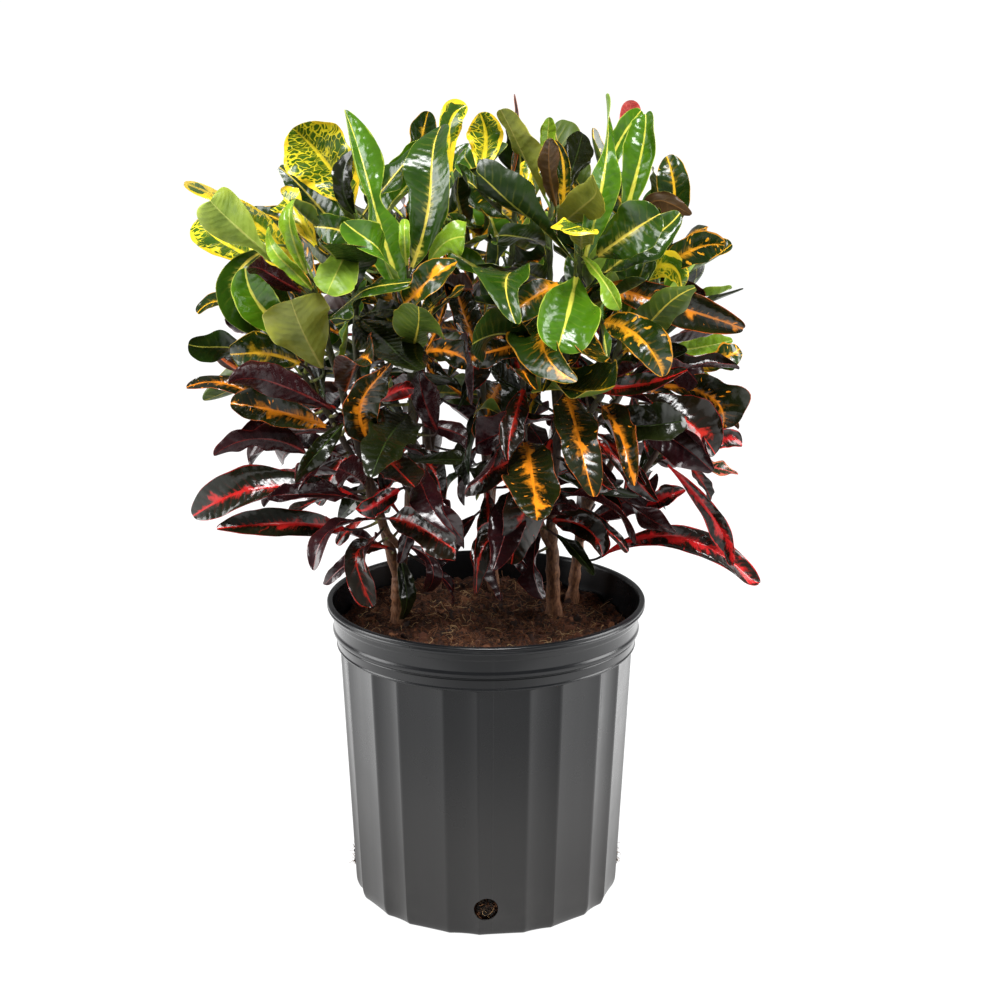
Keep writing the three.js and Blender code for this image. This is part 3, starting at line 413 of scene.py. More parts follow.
class Blades:
    """Leaf blades as arrays with one row a leaf: root, rib, face, half, roll, curl, wave, waves, phase."""

    def __init__(self, **fields):
        self.__dict__.update(fields)

    def pick(self, row):
        """One of the leaves, as an array of its own."""
        return Blades(**{name: value[row:row + 1] for name, value in self.__dict__.items()})


def outline(u):
    """Half width at u as a share of the widest, u running from the blade's base to its tip."""
    widest = OUTLINE_RISE / (OUTLINE_RISE + OUTLINE_FALL)
    return (u / widest) ** OUTLINE_RISE * ((1 - u) / (1 - widest)) ** OUTLINE_FALL


def blade_points(leaf, u, v, half):
    """Points of the blades' middle surfaces and their normals: v runs from -1 to 1 across them."""
    u, v = np.asarray(u, float), np.asarray(v, float)
    along = curve_directions(leaf.rib, u)
    flat = across(leaf.face[:, None], along)
    level = np.cross(along, flat)
    roll = mix(leaf.roll[:, 0:1], leaf.roll[:, 1:2], u)[..., None]
    side = level * np.cos(roll) + flat * np.sin(roll)
    normal = np.cross(side, along)
    curl = leaf.curl[:, None]
    reach = np.sin(curl * v) / curl
    rise = (1 - np.cos(curl * v)) / curl
    turns = leaf.waves[:, None] * u + leaf.phase[:, None] + WAVE_LAG * v
    ripple = leaf.wave[:, None] * v * v * np.sin(2 * np.pi * turns)
    points = curve_points(leaf.rib, u) + side * (half * reach)[..., None]
    return points + normal * (half * (rise + ripple))[..., None], normal


def soil_height(x, y):
    """The soil's lumpy top, about 25 mm below the rim and a little higher towards the back left."""
    slope = SOIL_SLOPE[0] * x + SOIL_SLOPE[1] * y
    broad = BROAD_LUMPS * np.sin(x * 0.11 + 1.3) * np.cos(y * 0.13 - 0.4)
    small = SMALL_LUMPS * np.sin(x * 0.23 - y * 0.19)
    return SOIL_TOP + slope + broad + small


def softened(distance, margin):
    """A distance from a limit, kept above nothing: below the margin it shrinks more and more slowly."""
    near = np.minimum(distance, margin)
    return np.where(distance < margin, margin * margin / (2 * margin - near), distance)


def kept(points, walls):
    """Points bent back inside their plant's cell and lifted clear of the soil and the rim."""
    for _ in range(2):
        for normal, reach in walls:
            inside = reach - points @ normal
            points = points - (softened(inside, CELL_MARGIN) - inside)[..., None] * normal
    x, y, z = np.moveaxis(points, -1, 0)
    low = np.where(np.hypot(x, y) < RIM_INSIDE, soil_height(x, y) + OVER_SOIL, POT_HEIGHT + OVER_RIM)
    return np.stack((x, y, low + softened(z - low, LIFT_MARGIN)), axis=-1)


class Plant:
    """One cutting: its stems, the walls of its cell and its leaves."""

    def __init__(self, name):
        self.name = name
        self.stems = {}
        for stem, on, at, bend, end, thick, thin, leaves, low, size in STEMS[name]:
            rooted = on == "soil"
            start = (*ROOTED_AT[name], ROOTED_TO) if rooted else self.at(self.stems[on]["curve"], at)
            curve = np.array((start, bend, end), float)
            self.stems[stem] = {"curve": curve, "radii": (thick, thin), "rooted": rooted,
                                "leaves": leaves, "low": low, "high": 1, "size": size}
        self.leaves = []
        self.looks = []
        site = np.array(CELL_SITES[name], float)
        self.walls = []
        for other in (np.array(s, float) for n, s in CELL_SITES.items() if n != name):
            normal = (other - site) / np.hypot(*(other - site))
            reach = normal @ (other + site) / 2 - CELL_GAP
            self.walls.append((np.array((*normal, 0)), reach))

    @staticmethod
    def at(curve, t):
        return curve_points(curve[None], [t])[0, 0]


class Crown:
    """All the cuttings and the points that are already taken by their stems and leaves."""

    def __init__(self):
        self.draw = seeded_numbers(SEED)
        self.taken = np.zeros((0, 3))
        self.plants = [Plant(name) for name in STEMS]
        for plant in self.plants:
            self.place(plant)
        for plant in self.plants:
            self.grow(plant)

    def draws(self, count):
        return np.array([next(self.draw) for _ in range(count)])

    def take(self, points):
        self.taken = np.concatenate((self.taken, points))

    def clearest(self, leaves, walls):
        """Picks the leaf that lies clearest of the others, the walls, the pot and the dome."""
        u, v = (grid.ravel() for grid in np.meshgrid(SAMPLES_ALONG, SAMPLES_ACROSS, indexing="ij"))
        base = leaves.rib[:, 0]
        half = np.maximum(leaves.half[:, None] * outline(u), PETIOLE_RADIUS)
        points = np.concatenate((base[:, None], ((leaves.root + base) / 2)[:, None],
                                 blade_points(leaves, u, v, half)[0]), axis=1)
        count, samples = points.shape[:2]
        flat = points.reshape(-1, 3)
        low, high = flat.min(0) - NEIGHBOUR_REACH, flat.max(0) + NEIGHBOUR_REACH
        others = self.taken[np.all((self.taken > low) & (self.taken < high), axis=1)]
        score = np.zeros(len(flat))
        if len(others):
            square = ((flat[:, None] - others) ** 2).sum(-1)
            shares = np.exp(-square / (2 * CLEARANCE**2))
            score += np.where(square < NEIGHBOUR_REACH**2, shares, 0).sum(1)
        for normal, reach in walls:
            score += WALL_WEIGHT * np.maximum(0, flat @ normal - reach)
        out = np.linalg.norm((flat - CROWN_CENTRE) / CROWN_REACH, axis=1)
        score += DOME_WEIGHT * np.maximum(0, out - 1)
        inside = np.hypot(flat[:, 0], flat[:, 1]) < RIM_INSIDE
        lowest = np.where(inside, LOWEST_OVER_SOIL, LOWEST_OUTSIDE)
        score += LOW_WEIGHT * np.maximum(0, lowest - flat[:, 2])
        totals = score.reshape(count, samples).sum(1)
        best = int(np.argmin(totals))
        return leaves.pick(best), points[best], totals[best]

    def place(self, plant):
        """The leaves that are placed one by one, each leaning back or forwards to where it is clear."""
        for stem in plant.stems.values():
            self.take(curve_points(stem["curve"][None], np.arange(STEM_SAMPLES + 1) / STEM_SAMPLES)[0])
        places = STEM_END * np.arange(STALK_PLACES + 1) / STALK_PLACES
        starts = np.concatenate([curve_points(stem["curve"][None], places)[0]
                                 for stem in plant.stems.values()])
        free = np.ones(len(starts), bool)
        shares = np.array(LEAN_SHARES)[:, None] * VIEW_AXIS
        ways = len(LEANS)
        for *rib, half, face, turn_start, turn_end, curl, look in PLACED[plant.name]:
            base, middle, tip = np.array(rib, float)
            below = base - (0, 0, STALK_DROP)
            away = np.where(free, np.linalg.norm(starts - below, axis=1), np.inf)
            root = starts[np.argmin(away)]
            free &= np.linalg.norm(starts - root, axis=1) > STALK_SPACING
            wave, waves, phase = self.draws(3)
            rib = np.stack((base, middle * 2 - (base + tip) / 2, tip))
            leaves = Blades(
                root=np.tile(root, (ways, 1)),
                rib=rib + np.array(LEANS)[:, None, None] * shares,
                face=np.tile(np.array(face, float), (ways, 1)),
                half=np.full(ways, float(half)),
                roll=np.tile(np.radians((turn_start, turn_end)), (ways, 1)),
                curl=np.full(ways, float(curl)),
                wave=np.full(ways, between(PLACED_WAVE, wave)),
                waves=np.full(ways, between(WAVES, waves)),
                phase=np.full(ways, phase),
            )
            leaf, points, _ = self.clearest(leaves, plant.walls)
            self.take(points)
            plant.leaves.append(leaf)
            plant.looks.append(look)

    def grow(self, plant):
        """The leaves that grow by rule; one that finds no room isn't grown."""
        for stem in plant.stems.values():
            for k in range(stem["leaves"]):
                draws = self.draws(CANDIDATES * GROWN_DRAWS).reshape(CANDIDATES, GROWN_DRAWS)
                leaf, points, score = self.clearest(self.grown(stem, k, draws), plant.walls)
                if score < CROWDED:
                    self.take(points)
                    plant.leaves.append(leaf)
                    plant.looks.append(None)

    @staticmethod
    def grown(stem, k, draws):
        """Ways for a leaf to grow: round its shoot by the golden angle, spread low, upright at the tip."""
        height, turn, lean, size, stalk, droop, roll, half, twist, curl, wave, waves, phase = draws.T
        youth = (k + 0.5) / stem["leaves"]
        t = mix(stem["low"], stem["high"], youth**HEIGHT_BIAS) + HEIGHT_SPREAD * (height - 0.5)
        t = np.minimum(t, STEM_END)
        curve = stem["curve"][None]
        root = curve_points(curve, t)[0]
        axis = curve_directions(curve, t)[0]
        turn = np.radians(k * GOLDEN_ANGLE + TURN_SPREAD * (turn - 0.5) + stem["curve"][2, 0])[:, None]
        lean = np.radians(between(LEAN, youth**LEAN_BIAS) + LEAN_SPREAD * (lean - 0.5))[:, None]
        east = across(np.array((1, 0, 0.01)), axis)
        radial = east * np.cos(turn) + np.cross(axis, east) * np.sin(turn)
        out = axis * np.cos(lean) + radial * np.sin(lean)
        longest = between(BLADE_LENGTH, math.sin(math.pi * youth)) - YOUNGEST_SHORTER * youth**YOUNGEST_BIAS
        size = stem["size"] * longest * between(LENGTH_SHARE, size)
        stalk = between(STALK_LENGTH, stalk) * mix(1, YOUNGEST_STALK, youth)
        base = root + out * stalk[:, None]
        bend = base + out * (size * BEND_AT)[:, None]
        droop = mix(DROOP, 0, youth**DROOP_BIAS) + DROOP_SPREAD * (droop - 0.5)
        down = np.stack((0 * droop, 0 * droop, -droop), axis=1)
        tip = bend + unit(out + down) * (size * TIP_AFTER_BEND)[:, None]
        roll = np.radians(ROLL_SPREAD * (roll - 0.5))
        return Blades(
            root=root,
            rib=np.stack((base, bend, tip), axis=1),
            face=axis * np.sin(lean) - radial * np.cos(lean),
            half=size * between(WIDTH_SHARE, half),
            roll=np.stack((roll, roll + np.radians(TWIST_SPREAD * (twist - 0.5))), axis=1),
            curl=between(CURL, curl),
            wave=between(GROWN_WAVE, wave),
            waves=between(WAVES, waves),
            phase=phase,
        )


class Wire:
    """A node's output that takes part in Python sums; numbers and other wires may stand on either side."""

    def __init__(self, graph, socket):
        self.graph = graph
        self.socket = socket

    def math(self, operation, *values):
        return self.graph.node("ShaderNodeMath", {"operation": operation}, dict(enumerate(values)))

    def __abs__(self):
        return self.math("ABSOLUTE", self)

    def step(self, low, high):
        """0 below low, 1 above high and smooth between them; low may be the greater."""
        settings = {"interpolation_type": "SMOOTHSTEP"}
        return self.graph.node("ShaderNodeMapRange", settings, {0: self, 1: low, 2: high})


def sum_of(operation, reflected):
    """A Python operator as a Math node; reflected, the wire stands on the right."""
    def made(self, other):
        return self.math(operation, *((other, self) if reflected else (self, other)))
    return made


for operator, operation in (("add", "ADD"), ("sub", "SUBTRACT"), ("mul", "MULTIPLY"), ("truediv", "DIVIDE"),
                            ("pow", "POWER")):
    setattr(Wire, f"__{operator}__", sum_of(operation, False))
    setattr(Wire, f"__r{operator}__", sum_of(operation, True))


class Graph:
    """A node tree that is built by calls: one method makes any node."""

    def node(self, kind, settings=None, inputs=None, output=0):
        """Makes a node, first its settings, then the values or wires of its inputs, and gives an output."""
        made = self.tree.nodes.new(kind)
        for name, value in (settings or {}).items():
            setattr(made, name, value)
        for name, value in (inputs or {}).items():
            if isinstance(value, Wire):
                self.tree.links.new(value.socket, made.inputs[name])
            elif value is not None:
                made.inputs[name].default_value = value
        return None if output is None else Wire(self, made.outputs[output])

    def parts(self, vector):
        """The x, y and z of a vector."""
        split = self.node("ShaderNodeSeparateXYZ", None, {0: vector})
        return [Wire(self, socket) for socket in split.socket.node.outputs]

    def vector(self, x, y, z):
        return self.node("ShaderNodeCombineXYZ", None, {0: x, 1: y, 2: z})

    def stretch(self, vector, scale):
        """A vector times a vector of numbers."""
        return self.node("ShaderNodeVectorMath", {"operation": "MULTIPLY"}, {0: vector, 1: scale})

    def noise(self, vector, scale, detail=2.0, roughness=0.5):
        values = {"Vector": vector, "Scale": scale, "Detail": detail, "Roughness": roughness}
        return self.node("ShaderNodeTexNoise", None, values)


class Finish(Graph):
    """A material that is built by calls, with lengths in metres."""

    def __init__(self, name):
        self.material = bpy.data.materials.new(name)
        self.material.use_nodes = True
        self.tree = self.material.node_tree
        self.tree.nodes.clear()

    def place(self):
        return self.node("ShaderNodeTexCoord", None, None, "Object")

    def attribute(self, name, output="Fac"):
        return self.node("ShaderNodeAttribute", {"attribute_name": name}, None, output)

    def cells(self, vector, scale, output="Distance", feature="F1"):
        return self.node("ShaderNodeTexVoronoi", {"feature": feature},
                         {"Vector": vector, "Scale": scale}, output)

    def colour(self, share, first, second, blend="MIX"):
        """A blend of two colours."""
        first, second = (c if isinstance(c, Wire) else (*c, 1) for c in (first, second))
        return self.node("ShaderNodeMix", {"data_type": "RGBA", "blend_type": blend},
                         {0: share, 6: first, 7: second}, 2)

    def bump(self, height, strength):
        """A normal bent by a height in metres."""
        return self.node("ShaderNodeBump", None, {"Strength": strength, "Distance": 1.0, "Height": height})

    def done(self, **sockets):
        """Ends the material in one Principled shader; a socket's name is given with _ for each space."""
        values = {name.replace("_", " "): value for name, value in sockets.items()}
        shader = self.node("ShaderNodeBsdfPrincipled", None, values)
        self.node("ShaderNodeOutputMaterial", None, {"Surface": shader}, None)
        return self.material


class Recipe(Graph):
    """A Geometry Nodes tree with named inputs, run once on an object and turned into a plain mesh."""

    def __init__(self, name):
        self.tree = bpy.data.node_groups.new(name, "GeometryNodeTree")
        self.tree.interface.new_socket("Geometry", in_out="INPUT", socket_type="NodeSocketGeometry")
        self.tree.interface.new_socket("Geometry", in_out="OUTPUT", socket_type="NodeSocketGeometry")
        self.start = self.tree.nodes.new("NodeGroupInput")
        self.names = {}
        self.geometry = Wire(self, self.start.outputs["Geometry"])

    def input(self, name, kind, default):
        """A named input of the tree, where kind is Float, Int or Vector."""
        item = self.tree.interface.new_socket(name, in_out="INPUT", socket_type="NodeSocket" + kind)
        item.default_value = default
        self.names[name] = item.identifier
        return Wire(self, self.start.outputs[name])

    def named(self, name):
        return self.node("GeometryNodeInputNamedAttribute", {"data_type": "FLOAT"}, {"Name": name})

    def store(self, geometry, name, value, domain="POINT"):
        return self.node("GeometryNodeStoreNamedAttribute", {"data_type": "FLOAT", "domain": domain},
                         {"Geometry": geometry, "Name": name, "Value": value})

    def random(self, low, high, seed, kind="FLOAT"):
        first, last, output = {"FLOAT": (2, 3, 1), "FLOAT_VECTOR": (0, 1, 0), "INT": (4, 5, 2)}[kind]
        return self.node("FunctionNodeRandomValue", {"data_type": kind},
                         {first: low, last: high, "Seed": seed}, output)

    def close(self, geometry, material):
        """The tree's end: real geometry with its material."""
        real = self.node("GeometryNodeRealizeInstances", None, {"Geometry": geometry})
        shown = self.node("GeometryNodeSetMaterial", None, {"Geometry": real, "Material": material})
        self.node("NodeGroupOutput", None, {"Geometry": shown}, None)

    def run(self, mesh, name, **values):
        """Runs the tree on a mesh and gives the result as a new object; the mesh is used up."""
        source = linked(name + "_source", mesh)
        modifier = source.modifiers.new(self.tree.name, "NODES")
        modifier.node_group = self.tree
        for key, value in values.items():
            modifier[self.names[key.replace("_", " ")]] = value
        result = evaluated(source)
        bpy.data.objects.remove(source)
        return linked(name, result)


def evaluated(made):
    """A plain mesh of an object as its modifiers shape it."""
    depsgraph = bpy.context.evaluated_depsgraph_get()
    return bpy.data.meshes.new_from_object(made.evaluated_get(depsgraph), depsgraph=depsgraph)


def linked(name, mesh):
    """A new object in the scene with this mesh."""
    mesh.name = name
    made = bpy.data.objects.new(name, mesh)
    bpy.context.scene.collection.objects.link(made)
    return made


def mesh_of(name, points, faces, edges=(), **attributes):
    """A mesh of millimetre points; an attribute is one number, vector or colour a point."""
    mesh = bpy.data.meshes.new(name)
    mesh.from_pydata((np.asarray(points) * MM).tolist(), [tuple(e) for e in edges],
                     np.asarray(faces).tolist())
    kinds = {1: ("FLOAT", "value"), 3: ("FLOAT_VECTOR", "vector"), 4: ("FLOAT_COLOR", "color")}
    for key, values in attributes.items():
        values = np.asarray(values, np.float32).reshape(len(points), -1)
        kind, field = kinds[values.shape[1]]
        mesh.attributes.new(key, kind, "POINT").data.foreach_set(field, values.ravel())
    return mesh


def finished(made, slot, *nodes):
    """Hangs a piece on the body it rides on and hides the CAD nodes it stands for; slot is not used."""
    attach(made, BODY)
    if nodes:
        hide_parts(*nodes)


def linear(code):
    """A colour of the screen, such as 4f8a1e, in the linear values that nodes use."""
    parts = np.array([int(code[i:i + 2], 16) for i in (0, 2, 4)]) / 255
    return np.where(parts <= 0.04045, parts / 12.92, ((parts + 0.055) / 1.055) ** 2.4)


def shade(colour, factor=1.0):
    """A colour setting of the panel as three numbers, lighter or darker by a factor."""
    return tuple(float(c) * factor for c in tuple(colour)[:3])

# Colourings of a leaf's upper face: ground, figure and margin colours, half the rib's width in mm, then how
# strongly veins, a net of figure colour, spots, blotches and the margin show, and the roughness
LOOKS = {
    "speckled": ("3c5c10", "d8c828", "e3c026", 1.7, 0.14, 0.36, 0.2, 0.1, 0.7, 0.26),
    "limerib": ("446e10", "c9cb4e", "a3b240", 1.3, 0.03, 0.0, 0.0, 0.0, 0.11, 0.2),
    "creamrib": ("26420b", "cfc04c", "8c9434", 1.1, 0.03, 0.0, 0.1, 0.12, 0.07, 0.2),
    "lime": ("7a9c26", "b4c04a", "9fae3e", 0.7, 0.06, 0.0, 0.0, 0.0, 0.06, 0.28),
    "blotched": ("23380c", "e6981a", "c08422", 1.3, 0.1, 0.0, 0.25, 0.5, 0.12, 0.22),
    "yellow": ("4c6e16", "dcc428", "dfbf28", 2.2, 0.16, 0.4, 0.25, 0.4, 0.5, 0.26),
    "dark": ("151a08", "2b3a16", "33280f", 0.6, 0.05, 0.0, 0.0, 0.0, 0.03, 0.18),
    "yellowrib": ("1c300b", "d6a824", "c08e22", 1.2, 0.05, 0.0, 0.35, 0.3, 0.08, 0.2),
    "orangerib": ("171c08", "de841a", "a84c1a", 1.4, 0.05, 0.0, 0.42, 0.42, 0.06, 0.2),
    "redband": ("14160a", "b81e1c", "8c1a16", 1.5, 0.03, 0.0, 0.12, 0.42, 0.1, 0.2),
    "redrib": ("18120a", "a82318", "8a1a14", 1.0, 0.04, 0.0, 0.16, 0.4, 0.06, 0.18),
    "scarlet": ("1a120c", "c01e20", "a81c1a", 1.3, 0.1, 0.0, 0.2, 0.56, 0.2, 0.2),
    "spotted": ("1d2f0b", "d8961e", "bf7e1c", 1.2, 0.08, 0.0, 0.65, 0.35, 0.2, 0.22),
    "rose": ("9c3230", "b04a42", "aa423a", 0.8, 0.1, 0.2, 0.3, 0.3, 0.15, 0.3),
    "rosespot": ("303a1c", "c25248", "c87650", 1.0, 0.3, 0.5, 0.7, 0.2, 0.4, 0.26),
    "maroon": ("240c10", "5c1a18", "5c1814", 0.6, 0.05, 0.0, 0.0, 0.0, 0.05, 0.22),
}
UNDERSIDES = {
    "underpale": ("86993a", "a2ae58", "a8b258", 0.7, 0.07, 0.0, 0.0, 0.0, 0.08, 0.46),
    "underlime": ("76942a", "9cac46", "a8b850", 0.7, 0.07, 0.0, 0.0, 0.0, 0.1, 0.44),
    "underolive": ("70752a", "8a8a44", "a0a048", 0.7, 0.06, 0.0, 0.0, 0.0, 0.1, 0.42),
    "underrib": ("42541a", "b0a63c", "86802e", 0.8, 0.1, 0.0, 0.0, 0.0, 0.05, 0.38),
    "underbrown": ("46301a", "664824", "62381a", 0.7, 0.12, 0.0, 0.0, 0.0, 0.05, 0.48),
    "undergreen": ("1a2c0a", "8c8e36", "4c5420", 1.0, 0.07, 0.0, 0.0, 0.0, 0.02, 0.3),
    "maroon": ("260b0f", "5e1a18", "641a16", 0.6, 0.05, 0.0, 0.0, 0.0, 0.06, 0.28),
    "orangerib": ("2a140c", "a44c1a", "8c4016", 1.0, 0.06, 0.0, 0.0, 0.15, 0.06, 0.32),
    "scarlet": ("4a1010", "c0201e", "b4241a", 1.1, 0.25, 0.0, 0.1, 0.55, 0.2, 0.36),
}

# The underside that goes with an upper face
UNDER_OF = {
    "speckled": "underolive",
    "limerib": "underlime",
    "creamrib": "undergreen",
    "lime": "underpale",
    "blotched": "underrib",
    "yellow": "underlime",
    "dark": "undergreen",
    "yellowrib": "underrib",
    "orangerib": "orangerib",
    "redband": "maroon",
    "redrib": "maroon",
    "scarlet": "scarlet",
    "spotted": "undergreen",
    "rose": "scarlet",
    "rosespot": "underbrown",
    "maroon": "maroon",
}

# What leaves by rule look like at the top, below it, and low in the crown
BY_HEIGHT = (
    (532, ("creamrib", "yellowrib", "limerib", "speckled", "yellowrib", "creamrib")),
    (468, ("creamrib", "yellowrib", "spotted", "orangerib", "spotted", "blotched", "limerib")),
    (392, ("orangerib", "dark", "yellowrib", "orangerib", "redrib", "dark")),
    (0, ("redrib", "maroon", "redrib", "maroon", "dark")),
)
HEIGHT_JITTER = 14

# Smaller leaves that fill the crown between the ones of the frame: how many a shoot and a trunk have, how
# far along them they stand, their size, how little room is enough, how slim they are and how they curl
FILL_LEAVES = 9
FILL_TRUNK_LEAVES = 2
FILL_SPAN = (0.06, 0.86)
FILL_SIZE = (0.55, 0.85)
FILL_CROWDED = 19
FILL_SLIMMER = 0.8
FILL_CURL = (0.2, 1.3)

# A blade's finer form: columns across it and rows along it, for large and for filling leaves
COLUMNS = (-1, -0.88, -0.68, -0.44, -0.2, 0, 0, 0, 0.2, 0.44, 0.68, 0.88, 1)
FILL_COLUMNS = (-1, -0.72, -0.36, 0, 0, 0, 0.36, 0.72, 1)
ROWS = 38
FILL_ROWS = 22
TIP_CROWDING = 1.6
RIB_HALF = 1.1
BLADE_HALF_THICKNESS = (0.3, 0.14)
RIB_RIDGE = 0.7
RIDGE_HALF = 0.9
RIB_GROOVE = 0.25
GROOVE_HALF = 0.8
LEAF_SHARP_ANGLE = 55

# How irregular blades are: the depth of a waist, the share of leaves that have one, its place and its span,
# the taper to the tip and where it leaves the width as it was, how uneven a blade is, how slim the placed
# ones and the others are, side lobes, pointed tip, crease at the rib, curled edge, frill, tip hook and twist
WAIST = 0.4
WAIST_SHARE = 0.4
WAIST_AT = (0.4, 0.7)
WAIST_SPAN = 0.13
TAPER = (-0.5, 0.9)
TAPER_PIVOT = 0.6
UNEVEN = (0.6, 1)
SLIMMER = {True: 0.96, False: 0.82}
LOBES = ((1.7, 0.07), (3.4, 0.05), (7.1, 0.02))
POINTED = 0.5
POINTED_FROM = 0.72
CREASE = (0.04, 0.3)
EDGE_CURL = (-0.42, 0.5)
FRILL = (0.05, 0.2)
TIP_HOOK = 1.8
HOOK_FROM = 0.56
TIP_TWIST = 0.95
TWIST_FROM = 0.3


def joined(leaves):
    """Single leaves as one array of them."""
    names = leaves[0].__dict__
    return Blades(**{name: np.concatenate([getattr(leaf, name) for leaf in leaves]) for name in names})


def looks_of(leaves, looks, choose):
    """Upper and lower colouring of each leaf: as placed, or by its height in the crown."""
    pairs = []
    for leaf, look in zip(leaves, looks):
        height = leaf.rib[0, 1, 2] + HEIGHT_JITTER * choose.normal()
        upper = str(choose.choice(next(names for low, names in BY_HEIGHT if height > low)))
        shown_below = leaf.face[0, 1] > 0 and look in UNDERSIDES
        if look and not shown_below:
            upper = look
        pairs.append((LOOKS[upper], UNDERSIDES[look if shown_below else UNDER_OF[upper]]))
    return pairs


def dressed(leaves, slim, forms, u, v, choose):
    """The blades' points with their finer form: irregular outlines, creased ribs, curled edges and tips."""
    count = len(leaves.half)
    draws = choose.random((12, count, 1))
    part, at, turn, point, crease, curl, frill, hook, shift, twist, taper, uneven = draws
    side = np.sign(v)
    drawn = np.stack((
        np.maximum(0, part - 1 + WAIST_SHARE) / WAIST_SHARE * WAIST,
        between(WAIST_AT, at),
        between(TAPER, taper),
        TIP_TWIST * (twist * 2 - 1),
        between(UNEVEN, uneven),
    ))
    for number, form in forms.items():
        drawn[:, number, 0] = form
    waist, waist_at, taper, twist, uneven = drawn
    form = slim[:, None] * (1 + taper * (TAPER_PIVOT - u))
    form = form - waist * np.exp(-(((u - waist_at) / WAIST_SPAN) ** 2))
    for rate, high in LOBES:
        form = form + uneven * high * np.sin(2 * np.pi * (rate * u + turn * rate + 0.31 * side * rate))
    form = form - POINTED * point * uneven * smooth_step(POINTED_FROM, 1, u) * (1 - u) ** 0.3 * 1.2
    half = np.maximum(leaves.half[:, None] * outline(u) * form, PETIOLE_RADIUS * (1 - u) ** 4 + 0.05)
    wave = np.sin(2 * np.pi * (1.3 * u + shift))
    rise = between(CREASE, crease) * abs(v) + between(EDGE_CURL, curl) * v**6 * (0.6 + 0.6 * wave)
    ripple = uneven * between(FRILL, frill) * v**4 * np.sin(2 * np.pi * (3.3 * u + at * 5 + 0.2 * side))
    lengths = np.linalg.norm(leaves.rib[:, 2] - leaves.rib[:, 0], axis=1)[:, None] * 1.06
    bent = TIP_HOOK * uneven * (hook * 2 - 1.3) * np.maximum(0, u - HOOK_FROM) ** 2 * lengths
    twist = twist * smooth_step(TWIST_FROM, 1, u)
    points, normal = blade_points(leaves, u, v, half * np.cos(twist))
    lift = half * ((rise + ripple) * np.minimum(1, u * 4) + v * np.sin(twist)) + bent
    return points + normal * lift[..., None], half, u * lengths


def fine_blades(leaves, slim, forms, walls, rows, columns, choose):
    """The blades' middle surfaces as grids, with their normals and each point's place on its blade."""
    count, across_count = len(leaves.half), len(columns)
    t = np.append(np.linspace(0, 1, rows)[:-1], 1 - 0.5 / rows)
    u = 1 - (1 - t) ** TIP_CROWDING
    u, v = (grid.ravel() for grid in np.meshgrid(u, columns, indexing="ij"))
    half = np.maximum(leaves.half[:, None] * outline(u), 0.6)
    v = np.tile(v, (count, 1)).reshape(count, rows, across_count)
    near = np.minimum(RIB_HALF / half, 0.12).reshape(count, rows, across_count)
    for column, side in ((across_count // 2 - 1, -1), (across_count // 2 + 1, 1)):
        v[..., column] = side * near[..., column]
    v = v.reshape(count, -1)
    points, half, along = dressed(leaves, slim, forms, u, v, choose)
    points = boxed(kept(points, walls)).reshape(count, rows, across_count, 3)
    normals = unit(np.cross(np.gradient(points, axis=2), np.gradient(points, axis=1)))
    place = np.stack((along, v * half, (1 - abs(v)) * half), axis=-1)
    return points, normals, place.reshape(count, rows, across_count, 3), u.reshape(rows, across_count)


def boxed(points):
    """Points no further out than the frame's own box."""
    low, high = (np.array(corner) / MM for corner in CAD_BOX)
    return np.clip(points, low - 1, high + 1)


def leaves_mesh(plant, leaves, looks, forms, rows, columns, choose):
    """Leaves of a cutting as thin closed blades, with their colouring as attributes."""
    pairs = looks_of(leaves, looks, choose)
    slim = np.array([SLIMMER[look is not None] for look in looks])
    points, normals, place, u = fine_blades(joined(leaves), slim, forms, plant.walls, rows, columns, choose)
    count = len(leaves)
    across_blade = place[..., 1]
    v = abs(across_blade) / (abs(across_blade) + place[..., 2] + 1e-9)
    thick = mix(BLADE_HALF_THICKNESS[0], BLADE_HALF_THICKNESS[1], v**2) * np.minimum(1, 0.3 + 4 * (1 - u))
    ridge = RIB_RIDGE * np.exp(-((across_blade / RIDGE_HALF) ** 2)) * (1 - u) ** 0.7
    groove = RIB_GROOVE * np.exp(-((across_blade / GROOVE_HALF) ** 2)) * (1 - u) ** 0.5
    top = points + normals * (thick - groove)[..., None]
    bottom = points - normals * (thick + ridge)[..., None]
    grid = np.arange(v.size).reshape(v.shape)
    under = grid + grid.size
    faces = [quads(grid[:, :-1, :-1], grid[:, :-1, 1:], grid[:, 1:, 1:], grid[:, 1:, :-1]),
             quads(under[:, :-1, :-1], under[:, 1:, :-1], under[:, 1:, 1:], under[:, :-1, 1:])]
    for side, flip in ((np.s_[:, :, 0], False), (np.s_[:, :, -1], True),
                       (np.s_[:, 0, :], True), (np.s_[:, -1, :], False)):
        faces.append(rim(grid[side], under[side], flip))
    each = rows * len(columns)

    def painted(read):
        """One value a point, read from the colouring of its face."""
        return np.concatenate([np.repeat([read(pair[face]) for pair in pairs], each, axis=0)
                               for face in (0, 1)])

    mesh = mesh_of(
        "leaves", np.concatenate((top.reshape(-1, 3), bottom.reshape(-1, 3))), np.concatenate(faces),
        blade=np.tile(place.reshape(-1, 3) * MM, (2, 1)),
        blade_share=np.tile(u.ravel(), 2 * count),
        leaf_seed=np.tile(np.repeat(choose.random(count), each), 2),
        underside=np.repeat((0, 1), v.size),
        ground=painted(lambda look: (*linear(look[0]), look[5])),
        figure=painted(lambda look: (*linear(look[1]), look[6])),
        margin=painted(lambda look: (*linear(look[2]), look[8])),
        detail=painted(lambda look: (look[3] * MM, look[4], look[9], look[7])),
    )
    mesh.shade_smooth()
    mesh.set_sharp_from_angle(angle=math.radians(LEAF_SHARP_ANGLE))
    return mesh


def quads(*corners):
    return np.stack([corner.ravel() for corner in corners], axis=1)


